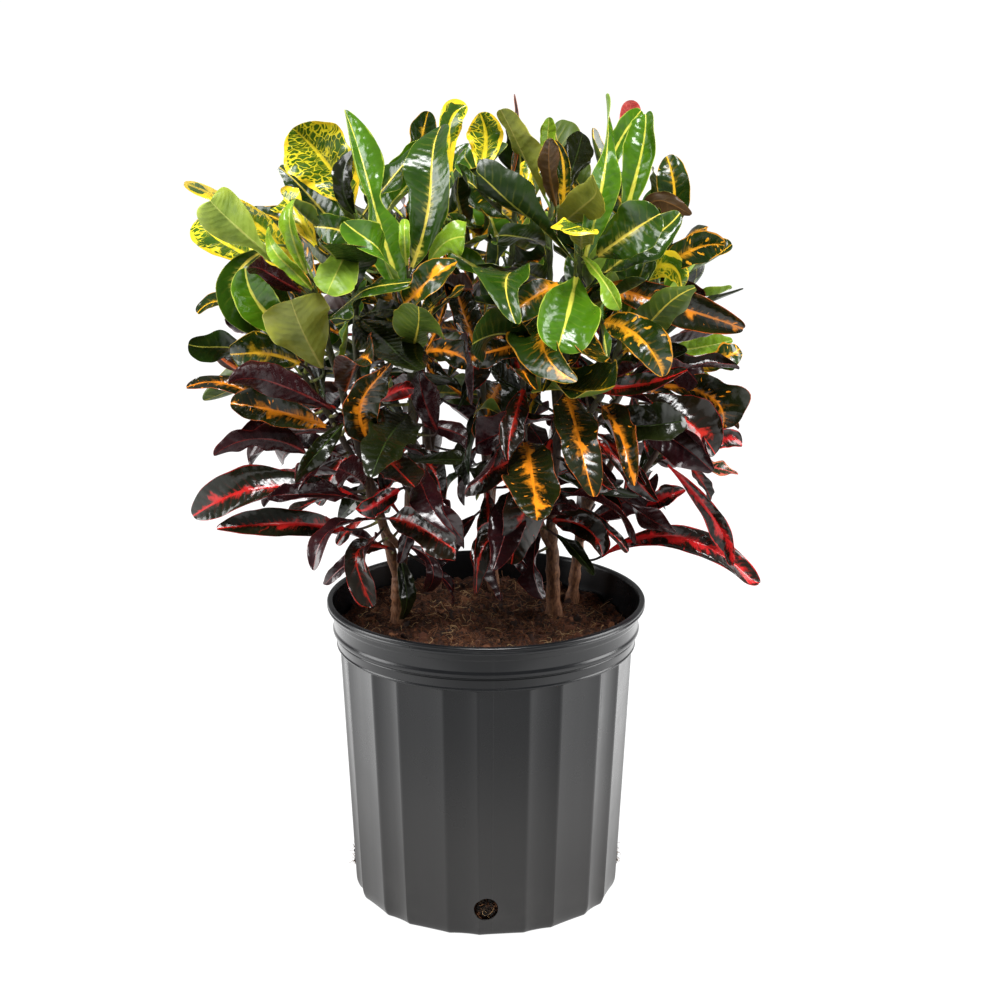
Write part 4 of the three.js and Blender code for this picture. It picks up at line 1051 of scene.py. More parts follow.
def rim(top, bottom, flip):
    """The narrow strips that close blades along one of their edges."""
    strip = [top[:, :-1], top[:, 1:], bottom[:, 1:], bottom[:, :-1]]
    return quads(*(strip[::-1] if flip else strip))


def filled(crown):
    """Grows the smaller leaves of the shoots, one list a cutting."""
    more = {}
    for plant in crown.plants:
        more[plant.name] = []
        for stem in plant.stems.values():
            low, high = FILL_SPAN
            for k in range(FILL_TRUNK_LEAVES if stem["rooted"] else FILL_LEAVES):
                draws = crown.draws(CANDIDATES * GROWN_DRAWS).reshape(CANDIDATES, GROWN_DRAWS)
                sized = {**stem, "leaves": FILL_LEAVES, "low": low, "high": high, "size": 1}
                leaves = crown.grown(sized, k, draws)
                shorter = between(FILL_SIZE, draws[:, 3])
                base = leaves.rib[:, :1]
                leaves.rib = base + (leaves.rib - base) * shorter[:, None, None]
                leaves.half = leaves.half * shorter * FILL_SLIMMER
                leaves.curl = between(FILL_CURL, draws[:, 9])
                leaf, points, score = crown.clearest(leaves, plant.walls)
                if score < FILL_CROWDED:
                    crown.take(points)
                    more[plant.name].append(leaf)
    return more


# Stems and leaf stalks as paths of points, each with its thickness and colour: bark at the foot, its colour
# between the two heights, and green skin at the top; stalks by height, with a paler node where they grow
TRUNK_COLOURS = ("7c5438", "33241a", "3c4820")
BARK_HEIGHTS = (240, 500)
STALK_COLOURS = ((520, "5f7a2c"), (450, "3f4a22"), (370, "35241a"), (0, "33181a"))
NODE_COLOUR = "8c9440"
NODE_SHARE = 0.7
STEM_POINTS = 26
STALK_POINTS = 9

# How uneven stems are: the share of a trunk that soil hides, how strong its rings are and how many it has,
# its lumps, how far it strays, how its foot flares and how slim its end is
BURIED = 0.25
RINGS = (0.07, 37)
LUMPS = 0.05
STRAY = 0.3
FOOT_FLARE = (2.2, 7)
STEM_TIP = 0.7
# A stalk's radius, and what is added at its foot and at its blade
STALK_RADII = (0.95, 0.5, 0.12)


def stems_mesh(plant, leaves, choose):
    """Every stem and leaf stalk of a cutting as a line of points, ready to be made round."""
    points, thickness, tones, edges = [], [], [], []

    def line(path, radii, colours):
        first = sum(len(p) for p in points)
        points.append(path)
        thickness.append(radii)
        tones.append(np.hstack((colours, np.ones((len(colours), 1)))))
        edges.extend((first + i, first + i + 1) for i in range(len(path) - 1))

    t = np.linspace(0, 1, STEM_POINTS)
    woody, middle, green = (linear(code) for code in TRUNK_COLOURS)
    for stem in plant.stems.values():
        path = curve_points(stem["curve"][None], mix(BURIED * stem["rooted"], 1, t))[0]
        rings = RINGS[0] * np.sin(t * RINGS[1] + choose.random() * 9)
        radii = between(stem["radii"], t) * (1 + rings + LUMPS * choose.normal(size=len(t)))
        radii[-1] *= STEM_TIP
        over_soil = np.maximum(path[:, 2] - SOIL_TOP, 0)
        radii = radii + FOOT_FLARE[0] * np.exp(-over_soil / FOOT_FLARE[1]) * stem["rooted"]
        low, high = BARK_HEIGHTS
        height = np.clip((path[:, 2] - low) / (high - low), 0, 1)[:, None]
        tone = np.where(height < 0.5, mix(woody, middle, height * 2), mix(middle, green, height * 2 - 1))
        line(path + choose.normal(size=path.shape) * STRAY, radii, tone)
    s = np.linspace(0, 1, STALK_POINTS)
    for leaf in leaves:
        base = kept(leaf.rib[:, 0], plant.walls)[0]
        start = curve_directions(leaf.rib, [0])[0, 0]
        root = leaf.root[0]
        bend = base - start * np.linalg.norm(base - root) * 0.5
        path = curve_points(np.stack((root, bend, base + start))[None], s)[0]
        code = next(code for low, code in STALK_COLOURS if base[2] + 20 * choose.normal() > low)
        tone = linear(code) * choose.uniform(0.75, 1.25)
        tone = mix(tone, linear(NODE_COLOUR), NODE_SHARE * (1 - s[:, None]) ** 4)
        line(path, STALK_RADII[0] + STALK_RADII[1] * (1 - s) ** 3 + STALK_RADII[2] * s**4, tone)
    return mesh_of("stems", np.concatenate(points), [], edges,
                   thickness=np.concatenate(thickness) * MM, tone=np.concatenate(tones))


def bars_recipe(material):
    """Makes lines of points round, as thick as their own attribute says."""
    recipe = Recipe("round_stems")
    sides = recipe.input("Sides", "Int", 10)
    curve = recipe.node("GeometryNodeMeshToCurve", None, {"Mesh": recipe.geometry})
    circle = recipe.node("GeometryNodeCurvePrimitiveCircle", None, {"Resolution": sides, "Radius": 1.0})
    values = {"Curve": curve, "Profile Curve": circle, "Scale": recipe.named("thickness"),
              "Fill Caps": True}
    recipe.close(recipe.node("GeometryNodeCurveToMesh", None, values), material)
    return recipe


# Distances on a blade in metres: between side veins, across the outer strip without them, and the margin
VEIN_SPACING = 0.0072
VEINLESS_EDGE = 0.004
MARGIN = 0.005
# How far veins lean to the tip, and how many cells of the net, spots and blotches go on a metre
VEIN_SLANT = 0.62
NET_SCALE = 260
SPOT_SCALE = 280
BLOTCH_SCALE = 60


def leaf_finish(gloss):
    """Croton leaf: a ground colour with its rib, veins, net, spots, blotches and margin in other colours."""
    f = Finish("croton_leaf")
    along, across_blade, edge = f.parts(f.attribute("blade", "Vector"))
    u, seed, under = f.attribute("blade_share"), f.attribute("leaf_seed"), f.attribute("underside")
    rib_half, veining, rough = f.parts(f.attribute("detail", "Color"))
    blotching = f.attribute("detail", "Alpha")
    ground, netting = f.attribute("ground", "Color"), f.attribute("ground", "Alpha")
    figure, spotting = f.attribute("figure", "Color"), f.attribute("figure", "Alpha")
    margin, edging = f.attribute("margin", "Color"), f.attribute("margin", "Alpha")
    out = abs(across_blade)
    side = across_blade.math("SIGN", across_blade)
    share = out / (out + edge + 0.0001)
    place = f.vector(along, across_blade, seed * 7.3)
    # Noise that bends the veins, that is the blade's grain, and that makes its parts differ
    waver, fine, patchy = f.noise(place, 90), f.noise(place, 420, 3), f.noise(place, 42, 3, 0.6)

    line = f.noise(f.vector(along, seed * 3.7, seed), 75, 2)
    width = rib_half * (1.3 - u) * (line * 1.9 + 0.1) + fine * 0.0004 - 0.00018
    rib = out.step(width * 1.3, width * 0.6) * (line.step(0.25, 0.5) * 0.55 + 0.45)

    # Side veins, the pale streaks that run out of the rib along them, and the quilting between them
    slant = along - out * VEIN_SLANT
    ordinal = slant / VEIN_SPACING + side * 0.25 + waver * 0.8
    quilt = abs(ordinal.math("FRACT", ordinal) - 0.5) * 2
    streak = f.noise(f.vector(slant * 3, out * 0.4, seed * 2.3 + side), 130, 3, 0.6).step(0.42, 0.62)
    flare = out.step(width * 4.5, width) * streak * patchy.step(0.4, 0.58)
    flare = flare * blotching.step(0.02, 0.2) * (1.25 - u)
    vein = quilt.step(0.3, 0.04) * (edge / VEINLESS_EDGE).step(0, 1) * patchy.step(0.35, 0.6)

    # Net, spots, blotches and margin
    spread = f.vector(slant + waver * 0.012, out * 0.6 + patchy * 0.008, seed * 5.1 + side * 0.31)
    mesh_line = f.cells(spread, NET_SCALE, "Distance", "DISTANCE_TO_EDGE")
    mesh_width = netting * (share * share * 0.35 + (patchy - 0.5) * 1.4 + 0.03)
    net = mesh_line.step(mesh_width + 0.03, mesh_width - 0.05) * netting.step(0.01, 0.05)
    chance = f.parts(f.cells(spread, SPOT_SCALE, "Color"))[0]
    spot_reach = (chance - 1 + spotting) * 0.6
    spots = f.cells(spread, SPOT_SCALE).step(spot_reach + 0.08, spot_reach - 0.04)
    spots = spots * spotting.step(0.01, 0.05)
    patch = f.noise(spread, BLOTCH_SCALE, 3, 0.6) * 0.95 + (1 - share) * 0.26 + fine * 0.1 - 0.05
    limit = 1.02 - blotching * 0.55
    blotches = patch.step(limit - 0.07, limit + 0.06) * blotching.step(0.01, 0.05) * (0.7 + fine * 0.5)
    wide = edging * MARGIN * (f.noise(place, 80) * 5 - 1.8)
    brink = edge.step(wide + 0.0002, wide - 0.0003) * edging.step(0.01, 0.04)

    darker = f.colour(1.0, ground, (0.5, 0.56, 0.5), "MULTIPLY")
    paler = f.colour(1.0, ground, (1.5, 1.3, 0.9), "MULTIPLY")
    base = f.colour(patchy.step(0.3, 0.6) * 0.75, darker, ground)
    base = f.colour((waver * 0.6 + share * 0.5).step(0.5, 1.0) * 0.6, base, paler)
    base = f.colour(vein * veining * 2 * share.step(0.9, 0.2), base, figure)
    base = f.colour(flare, base, figure)
    base = f.colour(net, base, figure)
    base = f.colour(spots, base, figure)
    base = f.colour(blotches, base, figure)
    base = f.colour(brink, base, margin)
    warmer = f.colour(1.0, figure, (0.9, 0.66, 0.55), "MULTIPLY")
    warm = f.colour(fine.step(0.3, 0.8) * 0.6, figure, warmer)
    base = f.colour(rib, base, warm)

    pucker = f.noise(place, 60, 2) * 0.0022 + f.noise(place, 190, 2) * 0.0004
    height = pucker + quilt.step(0, 0.9) * 0.00022 * (1 - under * 2) + fine * 0.00005
    normal = f.bump(height, 0.8)
    return f.done(
        Base_Color=base,
        Roughness=rough * (fine * 0.5 + 0.75) + (1 - gloss) * 0.3,
        Specular_IOR_Level=0.32 - under * 0.08,
        Coat_Weight=0.16 - under * 0.1,
        Coat_Roughness=0.08,
        Normal=normal,
    )


def stem_finish():
    """Bark that turns to green skin higher up, with scars and fine cracks."""
    f = Finish("croton_stem")
    place = f.place()
    grain = f.noise(f.stretch(place, (1, 1, 0.3)), 700, 3, 0.6)
    patches = f.noise(place, 140, 3)
    tone = f.attribute("tone", "Color")
    dark = f.colour(1.0, tone, (0.4, 0.32, 0.26), "MULTIPLY")
    pale = f.colour(1.0, tone, (1.7, 1.55, 1.4), "MULTIPLY")
    colour = f.colour(grain.step(0.38, 0.62), dark, tone)
    colour = f.colour(patches.step(0.55, 0.75) * 0.6, colour, pale)
    normal = f.bump(grain * 0.0005 + patches * 0.0006, 0.8)
    return f.done(Base_Color=colour, Roughness=0.5 + grain * 0.35, Specular_IOR_Level=0.35, Normal=normal)

# The pot's section from the middle of its underside over the lip to the middle of its floor:
# radius, height, how deep the flutes are there and how round the corner is
POT_SECTION = (
    (0, 0.6, 0, 0),
    (88, 0.6, 0, 1),
    (90, 0, 0.2, 0.5),
    (99, 0, 0.5, 1),
    (104, 1.8, 0.8, 2),
    (FOOT_RADIUS, FLUTE_FOOT_Z, 1, 5),
    (112.1, (FLUTE_FOOT_Z + FLUTE_TOP_Z) / 2, 1, 0),
    (FLUTE_TOP_RADIUS, FLUTE_TOP_Z + 0.2, 1, 0.5),
    (119.4, 210.6, 0, 0.5),
    (119.6, 211.8, 0, 0.5),
    (118.9, 212.8, 0, 0.5),
    (120.2, 219.4, 0, 0.6),
    (119.7, 220.5, 0, 0.4),
    (122.2, 222.4, 0, 0.7),
    (122.4, 224.8, 0, 0.9),
    (121.4, 226.8, 0, 0.8),
    (122.3, 235.8, 0, 0.4),
    (123.1, 236.8, 0, 0.4),
    (123.3, 240.4, 0, 0.6),
    (RIM_RADIUS - 1, 241.4, 0, 0.8),
    (RIM_RADIUS - 0.1, 243.4, 0, 0.8),
    (RIM_RADIUS - 1, 244.5, 0, 0.4),
    (RIM_RADIUS, 245.8, 0, 0.8),
    (RIM_RADIUS - 1, POT_HEIGHT - 0.4, 0, 0.8),
    (RIM_RADIUS - 4.4, POT_HEIGHT - 0.3, 0, 0.6),
    (RIM_RADIUS - 5.2, 245.6, 0, 0.6),
    (119.7, 228, 0, 1),
    (117.1, 212.2, 0, 1),
    (FLUTE_TOP_RADIUS - WALL, FLUTE_TOP_Z + 1, 1, 1),
    (FOOT_RADIUS - WALL, FLUTE_FOOT_Z + 1, 1, 2),
    (101.5, WALL + 1, 0.8, 1),
    (0, WALL + 1, 0, 0),
)
# Faces round the pot, how flat a flute is, steps of a fillet, the drain cutters' sides, place and length in
# millimetres, how close points are merged, in metres, and from what angle an edge is sharp
POT_TURNS = 484
FLATNESS = 2.2
FILLET_STEPS = 3
DRAIN_SIDES = 48
CUTTER_AT = 108
CUTTER_LENGTH = 24
POT_MERGE = 0.000002
POT_SHARP_ANGLE = 38


def filleted(section):
    """The section with an arc of a few points at each corner that is to be round."""
    corners = np.array(section, float)
    rows = [corners[0, :3]]
    for before, corner, after in zip(corners, corners[1:], corners[2:]):
        if corner[3] == 0:
            rows.append(corner[:3])
            continue
        ends = []
        for other in (before, after):
            step = other[:3] - corner[:3]
            length = np.hypot(step[0], step[1])
            ends.append(corner[:3] + step * min(corner[3] / length, 0.48))
        for t in np.linspace(0, 1, FILLET_STEPS + 1):
            rows.append(mix(mix(ends[0], corner[:3], t), mix(corner[:3], ends[1], t), t))
    rows.append(corners[-1, :3])
    return np.array(rows)


def flute_shape(place, narrow):
    """How deep a flute is at its place in a pair of them: 0 at its two ridges, 1 in its middle."""
    width = WIDE_FLUTE_SHARE + narrow * (1 - 2 * WIDE_FLUTE_SHARE)
    return 1 - abs((place - narrow * WIDE_FLUTE_SHARE) / width * 2 - 1) ** FLATNESS


def drain_ways():
    """The ways out of the pot through its drain holes, the front one first."""
    angles = [math.radians(360 / DRAIN_COUNT * i - 90) for i in range(DRAIN_COUNT)]
    return [Vector((math.cos(angle), math.sin(angle), 0)) for angle in angles]


def pot_recipe(material):
    """Turns a section into a fluted pot: a rule of bearing and height gives every point its place."""
    recipe = Recipe("fluted_pot")
    turns = recipe.input("Turns", "Int", POT_TURNS)
    depth = recipe.input("Flute depth", "Float", FLUTE_DEPTH * MM)
    turn = recipe.input("Flute turn", "Float", FLUTE_TURN)
    position = recipe.node("GeometryNodeInputPosition")
    radius, _, height = recipe.parts(position)
    section = recipe.store(recipe.geometry, "radius_here", radius)
    section = recipe.store(section, "height_here", height)
    section = recipe.node("GeometryNodeMeshToCurve", None, {"Mesh": section})
    circle = recipe.node("GeometryNodeCurvePrimitiveCircle", None, {"Resolution": turns, "Radius": 0.1})
    bearing = recipe.node("GeometryNodeInputIndex") / turns * 360
    circle = recipe.store(circle, "bearing", bearing)
    body = recipe.node("GeometryNodeCurveToMesh", None, {"Curve": circle, "Profile Curve": section})
    bearing = recipe.named("bearing")
    place = (bearing - turn) * (FLUTE_PAIRS / 360) + 9
    place = place.math("FRACT", place)
    narrow = place.math("GREATER_THAN", place, WIDE_FLUTE_SHARE)
    cut = recipe.named("fluted") * flute_shape(place, narrow) * depth
    angle = bearing.math("RADIANS", bearing - 90)
    far = recipe.named("radius_here") - cut
    at = recipe.vector(far * angle.math("COSINE", angle), far * angle.math("SINE", angle),
                       recipe.named("height_here"))
    body = recipe.node("GeometryNodeSetPosition", None, {"Geometry": body, "Position": at})
    recipe.close(body, material)
    return recipe


def drilled(pot):
    """Cuts the drain holes through the wall."""
    cutter = bmesh.new()
    for out in drain_ways():
        turned = out.to_track_quat("Z", "Y").to_matrix().to_4x4()
        turned.translation = (out * CUTTER_AT + Vector((0, 0, DRAIN_HEIGHT))) * MM
        bmesh.ops.create_cone(cutter, cap_ends=True, segments=DRAIN_SIDES, radius1=DRAIN_RADIUS * MM,
                              radius2=DRAIN_RADIUS * MM, depth=CUTTER_LENGTH * MM, matrix=turned)
    mesh = bpy.data.meshes.new("drain_cutter")
    cutter.to_mesh(mesh)
    cutter.free()
    tool = linked("drain_cutter", mesh)
    modifier = pot.modifiers.new("drains", "BOOLEAN")
    modifier.operation = "DIFFERENCE"
    modifier.solver = "EXACT"
    modifier.object = tool
    result = evaluated(pot)
    pot.modifiers.clear()
    pot.data = result
    bpy.data.objects.remove(tool)


def merged(mesh, distance):
    """Merges doubles and makes all faces point outwards."""
    shape = bmesh.new()
    shape.from_mesh(mesh)
    bmesh.ops.remove_doubles(shape, verts=shape.verts, dist=distance)
    bmesh.ops.dissolve_degenerate(shape, edges=shape.edges, dist=distance)
    bmesh.ops.recalc_face_normals(shape, faces=shape.faces)
    shape.to_mesh(mesh)
    shape.free()


# Colour of dust and of a painted reflection of the floor; how high dust lies in smudges at the foot, and the
# heights that the painted reflection fades over, strongest towards the foot, in metres; and how thickly each
# shows
DUST_AND_SHEEN = (0.1, 0.095, 0.09)
SMUDGE_TOP = 0.06
SMUDGE_SHARE = 0.16
FLOOR_SHEEN_HEIGHTS = (0.2, 0.05)
FLOOR_SHEEN_SHARE = 0.2
# The mould seam's half width in radians, outside and inside its soft edge, and its height
SEAM_HALF = (0.006, 0.002)
SEAM_HEIGHT = 0.00018
STREAK_HEIGHT = 0.00006


def pot_finish(colour, roughness):
    """Satin black polyethylene: faint flow streaks, dust smudges at the foot, a painted reflection of the
    floor that lightens it towards the foot, and a mould seam.
    """
    f = Finish("pot_plastic")
    place = f.place()
    x, y, z = f.parts(place)
    bearing = x.math("ARCTAN2", y, x)
    streaks = f.noise(f.vector(bearing * 0.4, z * 0.25, 0.0), 60, 3)
    smudge = f.noise(place, 22, 4, 0.6)
    # Real dust in smudges near the foot, plus painted reflection: an even lightening of the lower pot for
    # the bright floor
    dust_and_sheen = z.step(SMUDGE_TOP, 0.0) * smudge.step(0.4, 0.8) * SMUDGE_SHARE
    dust_and_sheen = dust_and_sheen + z.step(*FLOOR_SHEEN_HEIGHTS) * FLOOR_SHEEN_SHARE
    base = f.colour(streaks * 0.6, shade(colour), shade(colour, 1.5))
    base = f.colour(dust_and_sheen, base, DUST_AND_SHEEN)
    seam = abs(bearing - math.radians(SEAM_TURN - 90)).step(*SEAM_HALF)
    seam = seam + abs(bearing - math.radians(SEAM_TURN + 90)).step(*SEAM_HALF)
    height = streaks * STREAK_HEIGHT + seam * SEAM_HEIGHT
    rough = roughness + (smudge - 0.5) * 0.2 + dust_and_sheen * 0.3
    return f.done(Base_Color=base, Roughness=rough, Specular_IOR_Level=0.29,
                  Normal=f.bump(height, 0.6))


# Soil bed: rings and turns of its top, and the heights of its sides
SOIL_RING_COUNT = 90
SOIL_TURNS = 216
SOIL_SIDE = ((117.1, 212.5, 0), (FLUTE_TOP_RADIUS - WALL, FLUTE_TOP_Z + 1.3, 1), (111, 120, 1), (108, 50, 1),
             (105.6, 36, 1), (102, 25, 1), (104.6, 14, 1), (FOOT_RADIUS - WALL, FLUTE_FOOT_Z + 1, 1),
             (101.5, WALL + 1 + GAP, 0.8))
# Octaves of the soil's lumps: how many to a millimetre, and how high they stand
SOIL_OCTAVES = ((0.035, 2.6), (0.1, 3.2), (0.24, 2.2), (0.6, 0.9))
# The soil is heaped a little round each trunk: how high and how far
HEAP_HEIGHT = 2.5
HEAP_REACH = 15
# How far the soil's sides shrink from the wall where they aren't seen
SHRINK = 1.2


def lumpy(points, octaves, seed):
    """Heights of rolling noise at plan points."""
    return np.array([sum(high * noise.noise(Vector((x * rate, y * rate, seed + rate)))
                         for rate, high in octaves) for x, y in points])


def soil_top(reach):
    """Rings of points of the soil's rough top, from a share of its radius to near its middle."""
    rings = []
    for share in np.linspace(reach, 0, SOIL_RING_COUNT, endpoint=False):
        angles = np.arange(SOIL_TURNS) / SOIL_TURNS * 2 * np.pi
        x, y = SOIL_EDGE * share * np.cos(angles), SOIL_EDGE * share * np.sin(angles)
        z = soil_height(x, y) + lumpy(np.stack((x, y), 1), SOIL_OCTAVES, 0)
        for sx, sy in ROOTED_AT.values():
            z = z + HEAP_HEIGHT * np.exp(-((x - sx) ** 2 + (y - sy) ** 2) / HEAP_REACH**2)
        rings.append(np.stack((x, y, z), 1))
    return rings


def soil_bed(reach=1, sides=()):
    """The soil's top as a mesh, closed below by sides along the inside of the fluted wall where given."""
    angles = np.arange(SOIL_TURNS) / SOIL_TURNS * 2 * np.pi
    place = ((np.degrees(angles) + 90 - FLUTE_TURN) * FLUTE_PAIRS / 360) % 1
    flute = flute_shape(place, place > WIDE_FLUTE_SHARE)
    rings = []
    for radius, z, fluted in sides[::-1]:
        far = radius - GAP - fluted * flute * FLUTE_DEPTH
        rough = lumpy(np.stack((angles * 60, np.full(SOIL_TURNS, z * 0.6)), 1), SOIL_OCTAVES, 5)
        far = far - np.clip(SHRINK + rough, 0, 4) * (z < 200)
        rings.append(np.stack((far * np.cos(angles), far * np.sin(angles), np.full(SOIL_TURNS, z)), 1))
    rings += soil_top(reach)
    points = np.concatenate((*rings, [[0, 0, float(soil_height(0, 0))]], [[0, 0, WALL + 1 + GAP]]))
    grid = np.arange(len(rings) * SOIL_TURNS).reshape(len(rings), SOIL_TURNS)
    turned = np.roll(grid, -1, axis=1)
    faces = quads(grid[:-1], turned[:-1], turned[1:], grid[1:]).tolist()
    head, foot = len(points) - 2, len(points) - 1
    faces += [(head, grid[-1, i], turned[-1, i]) for i in range(SOIL_TURNS)]
    if sides:
        faces += [(foot, turned[0, i], grid[0, i]) for i in range(SOIL_TURNS)]
    mesh = bpy.data.meshes.new("soil")
    mesh.from_pydata((points * MM).tolist(), [], faces)
    mesh.shade_smooth()
    return mesh


# How far out the soil in the drain holes stands, in front and behind and at the sides, and its disc's sides
PLUG_REACHES = (103, 107)
PLUG_SIDES = 12


def drain_plugs():
    """A disc in each drain hole for loose soil to be scattered on."""
    points, faces = [], []
    for i, out in enumerate(drain_ways()):
        centre = out * PLUG_REACHES[i % 2] + Vector((0, 0, DRAIN_HEIGHT))
        turn = out.to_track_quat("Z", "Y")
        first = len(points)
        for k in range(PLUG_SIDES):
            angle = k / PLUG_SIDES * 2 * math.pi
            edge = Vector((math.cos(angle), math.sin(angle), 0))
            points.append(centre + turn @ edge * (DRAIN_RADIUS - 2))
        faces.append(tuple(range(first, first + PLUG_SIDES)))
    mesh = bpy.data.meshes.new("plugs")
    mesh.from_pydata([tuple(p * MM) for p in points], [], faces)
    return mesh


# Middle and end points of the curves that fibres of coir follow, and their thickness, in metres
FIBRE_CURVES = (
    ((0.004, 0.002, 0.001), (0.009, 0, 0)),
    ((0.005, -0.004, 0.002), (0.006, 0.003, 0)),
    ((0.003, 0.0005, 0), (0.007, 0.001, 0.001)),
    ((0.006, 0.005, 0.003), (0.0, 0.006, 0.001)),
)
FIBRE_RADIUS = 0.00015
FIBRE_SIZES = (0.35, 1.3)


def fibres_recipe(material):
    """Scatters short curled fibres of coir over a surface."""
    recipe = Recipe("coir_fibres")
    density = recipe.input("Density", "Float", 60000.0)
    longest = recipe.input("Length", "Float", 1.0)
    stand = recipe.input("Stand", "Float", 0.25)
    seed = recipe.input("Seed", "Int", 1)
    spots = recipe.node("GeometryNodeDistributePointsOnFaces", None,
                        {"Mesh": recipe.geometry, "Density": density, "Seed": seed})
    upright = Wire(recipe, spots.socket.node.outputs["Rotation"])
    shapes = []
    for middle, end in FIBRE_CURVES:
        line = recipe.node("GeometryNodeCurveQuadraticBezier", None,
                           {"Resolution": 6, "Start": (0, 0, 0), "Middle": middle, "End": end})
        circle = recipe.node("GeometryNodeCurvePrimitiveCircle", None,
                             {"Resolution": 3, "Radius": FIBRE_RADIUS})
        bar = recipe.node("GeometryNodeCurveToMesh", None, {"Curve": line, "Profile Curve": circle})
        shapes.append(bar)
    together = recipe.tree.nodes.new("GeometryNodeGeometryToInstance")
    for bar in shapes:
        recipe.tree.links.new(bar.socket, together.inputs[0])
    spin = recipe.random((-0.5, -0.5, -3.15), (0.5, 0.5, 3.15), 7, "FLOAT_VECTOR")
    tilt = recipe.node("ShaderNodeVectorMath", {"operation": "MULTIPLY"},
                       {0: spin, 1: recipe.vector(stand, stand, 1.0)})
    rotation = recipe.node("FunctionNodeRotateRotation", {"rotation_space": "LOCAL"},
                           {0: upright, 1: recipe.node("FunctionNodeEulerToRotation", None, {0: tilt})})
    size = recipe.random(*FIBRE_SIZES, 11) * longest
    placed = recipe.node("GeometryNodeInstanceOnPoints", None, {
        "Points": spots, "Instance": Wire(recipe, together.outputs[0]), "Pick Instance": True,
        "Instance Index": recipe.random(0, len(FIBRE_CURVES) - 1, 13, "INT"), "Rotation": rotation,
        "Scale": recipe.vector(size, size, size)})
    placed = recipe.store(placed, "tone", recipe.random(0.0, 1.0, 17), domain="INSTANCE")
    recipe.close(placed, material)
    return recipe


CRUMB_RADIUS = 0.001
CRUMB_SIZES = ((0.5, 0.4, 0.3), (2.4, 1.5, 1.1))


def crumbs_recipe(material):
    """Scatters small angular crumbs of bark and peat over a surface."""
    recipe = Recipe("bark_crumbs")
    density = recipe.input("Density", "Float", 40000.0)
    across_all = recipe.input("Size", "Float", 1.0)
    seed = recipe.input("Seed", "Int", 3)
    spots = recipe.node("GeometryNodeDistributePointsOnFaces", None,
                        {"Mesh": recipe.geometry, "Density": density, "Seed": seed})
    ball = recipe.node("GeometryNodeMeshIcoSphere", None, {"Radius": CRUMB_RADIUS, "Subdivisions": 1})
    turn = recipe.node("FunctionNodeEulerToRotation", None,
                       {0: recipe.random((0, 0, 0), (6.3, 6.3, 6.3), 19, "FLOAT_VECTOR")})
    size = recipe.random(*CRUMB_SIZES, 23, "FLOAT_VECTOR")
    size = recipe.stretch(size, recipe.vector(across_all, across_all, across_all))
    placed = recipe.node("GeometryNodeInstanceOnPoints", None,
                         {"Points": spots, "Instance": ball, "Rotation": turn, "Scale": size})
    placed = recipe.store(placed, "tone", recipe.random(0.0, 1.0, 29), domain="INSTANCE")
    recipe.close(placed, material)
    return recipe


def soil_finish(dark, pale):
    """Moist coir and peat: red-brown, with lighter shreds."""
    f = Finish("coir_soil")
    place = f.place()
    broad, middle, fine = f.noise(place, 60, 3), f.noise(place, 350, 4, 0.65), f.noise(place, 1400, 3)
    colour = f.colour(middle.step(0.35, 0.7), shade(dark), shade(pale))
    colour = f.colour(broad.step(0.45, 0.7) * 0.6, colour, shade(dark, 0.7))
    shreds = f.noise(f.stretch(place, (1.0, 0.25, 1.0)), 1100, 2).step(0.62, 0.72)
    colour = f.colour(shreds * 0.6, colour, shade(pale, 2.2))
    normal = f.bump(middle * 0.0024 + fine * 0.0008, 1.0)
    return f.done(Base_Color=colour, Roughness=0.85 + middle * 0.15, Specular_IOR_Level=0.25, Normal=normal)


def shred_finish(name, dark, middle, pale):
    """Loose pieces whose own tone runs from dark to pale."""
    f = Finish(name)
    tone = f.attribute("tone")
    colour = f.colour(tone.step(0.1, 0.7), shade(dark), shade(middle))
    colour = f.colour(tone.step(0.72, 1.0), colour, shade(pale))
    speck = f.noise(f.place(), 1200, 2)
    colour = f.colour(speck * 0.5, colour, shade(dark))
    return f.done(Base_Color=colour, Roughness=0.75 + speck * 0.2, Specular_IOR_Level=0.3)


class CrotonPotSettings(bpy.types.PropertyGroup):
    """Sizes and colour of the nursery pot."""

    turns: bpy.props.IntProperty(name="Turns", description="Faces round the pot", default=POT_TURNS, min=88)
    flute_depth: bpy.props.FloatProperty(
        name="Flute depth", description="How deep a flute is in its middle",
        default=FLUTE_DEPTH * MM, min=0, subtype="DISTANCE", unit="LENGTH")
    flute_turn: bpy.props.FloatProperty(
        name="Flute turn", description="Where the first ridge stands, in degrees from the front",
        default=FLUTE_TURN)
    colour: bpy.props.FloatVectorProperty(
        name="Colour", description="Colour of the plastic", subtype="COLOR", size=3,
        default=(0.0032, 0.0035, 0.0042), min=0, max=1)
    roughness: bpy.props.FloatProperty(
        name="Roughness", description="How matt the plastic is", default=0.26, min=0, max=1)


class CrotonSoilSettings(bpy.types.PropertyGroup):
    """Colours of the soil and how thickly fibres and crumbs lie on it."""

    dark: bpy.props.FloatVectorProperty(
        name="Dark", description="Moist peat", subtype="COLOR", size=3, default=(0.011, 0.0045, 0.0026),
        min=0, max=1)
    pale: bpy.props.FloatVectorProperty(
        name="Pale", description="Red-brown coir", subtype="COLOR", size=3, default=(0.115, 0.038, 0.014),
        min=0, max=1)
    fibres: bpy.props.FloatProperty(
        name="Fibres", description="Fibres to a square metre", default=60000, min=0)
    crumbs: bpy.props.FloatProperty(
        name="Crumbs", description="Crumbs to a square metre", default=45000, min=0)
    chunks: bpy.props.FloatProperty(
        name="Chunks", description="Larger chunks of bark to a square metre", default=6000, min=0)


class CrotonLeafSettings(bpy.types.PropertyGroup):
    """Finish of the leaves and the seed of their colouring."""

    gloss: bpy.props.FloatProperty(
        name="Gloss", description="How glossy the leaves are", default=1, min=0, max=1, subtype="FACTOR")
    seed: bpy.props.IntProperty(name="Seed", description="Seed of the colouring", default=7)
    stem_sides: bpy.props.IntProperty(name="Stem sides", description="Faces round a stem", default=10, min=4)


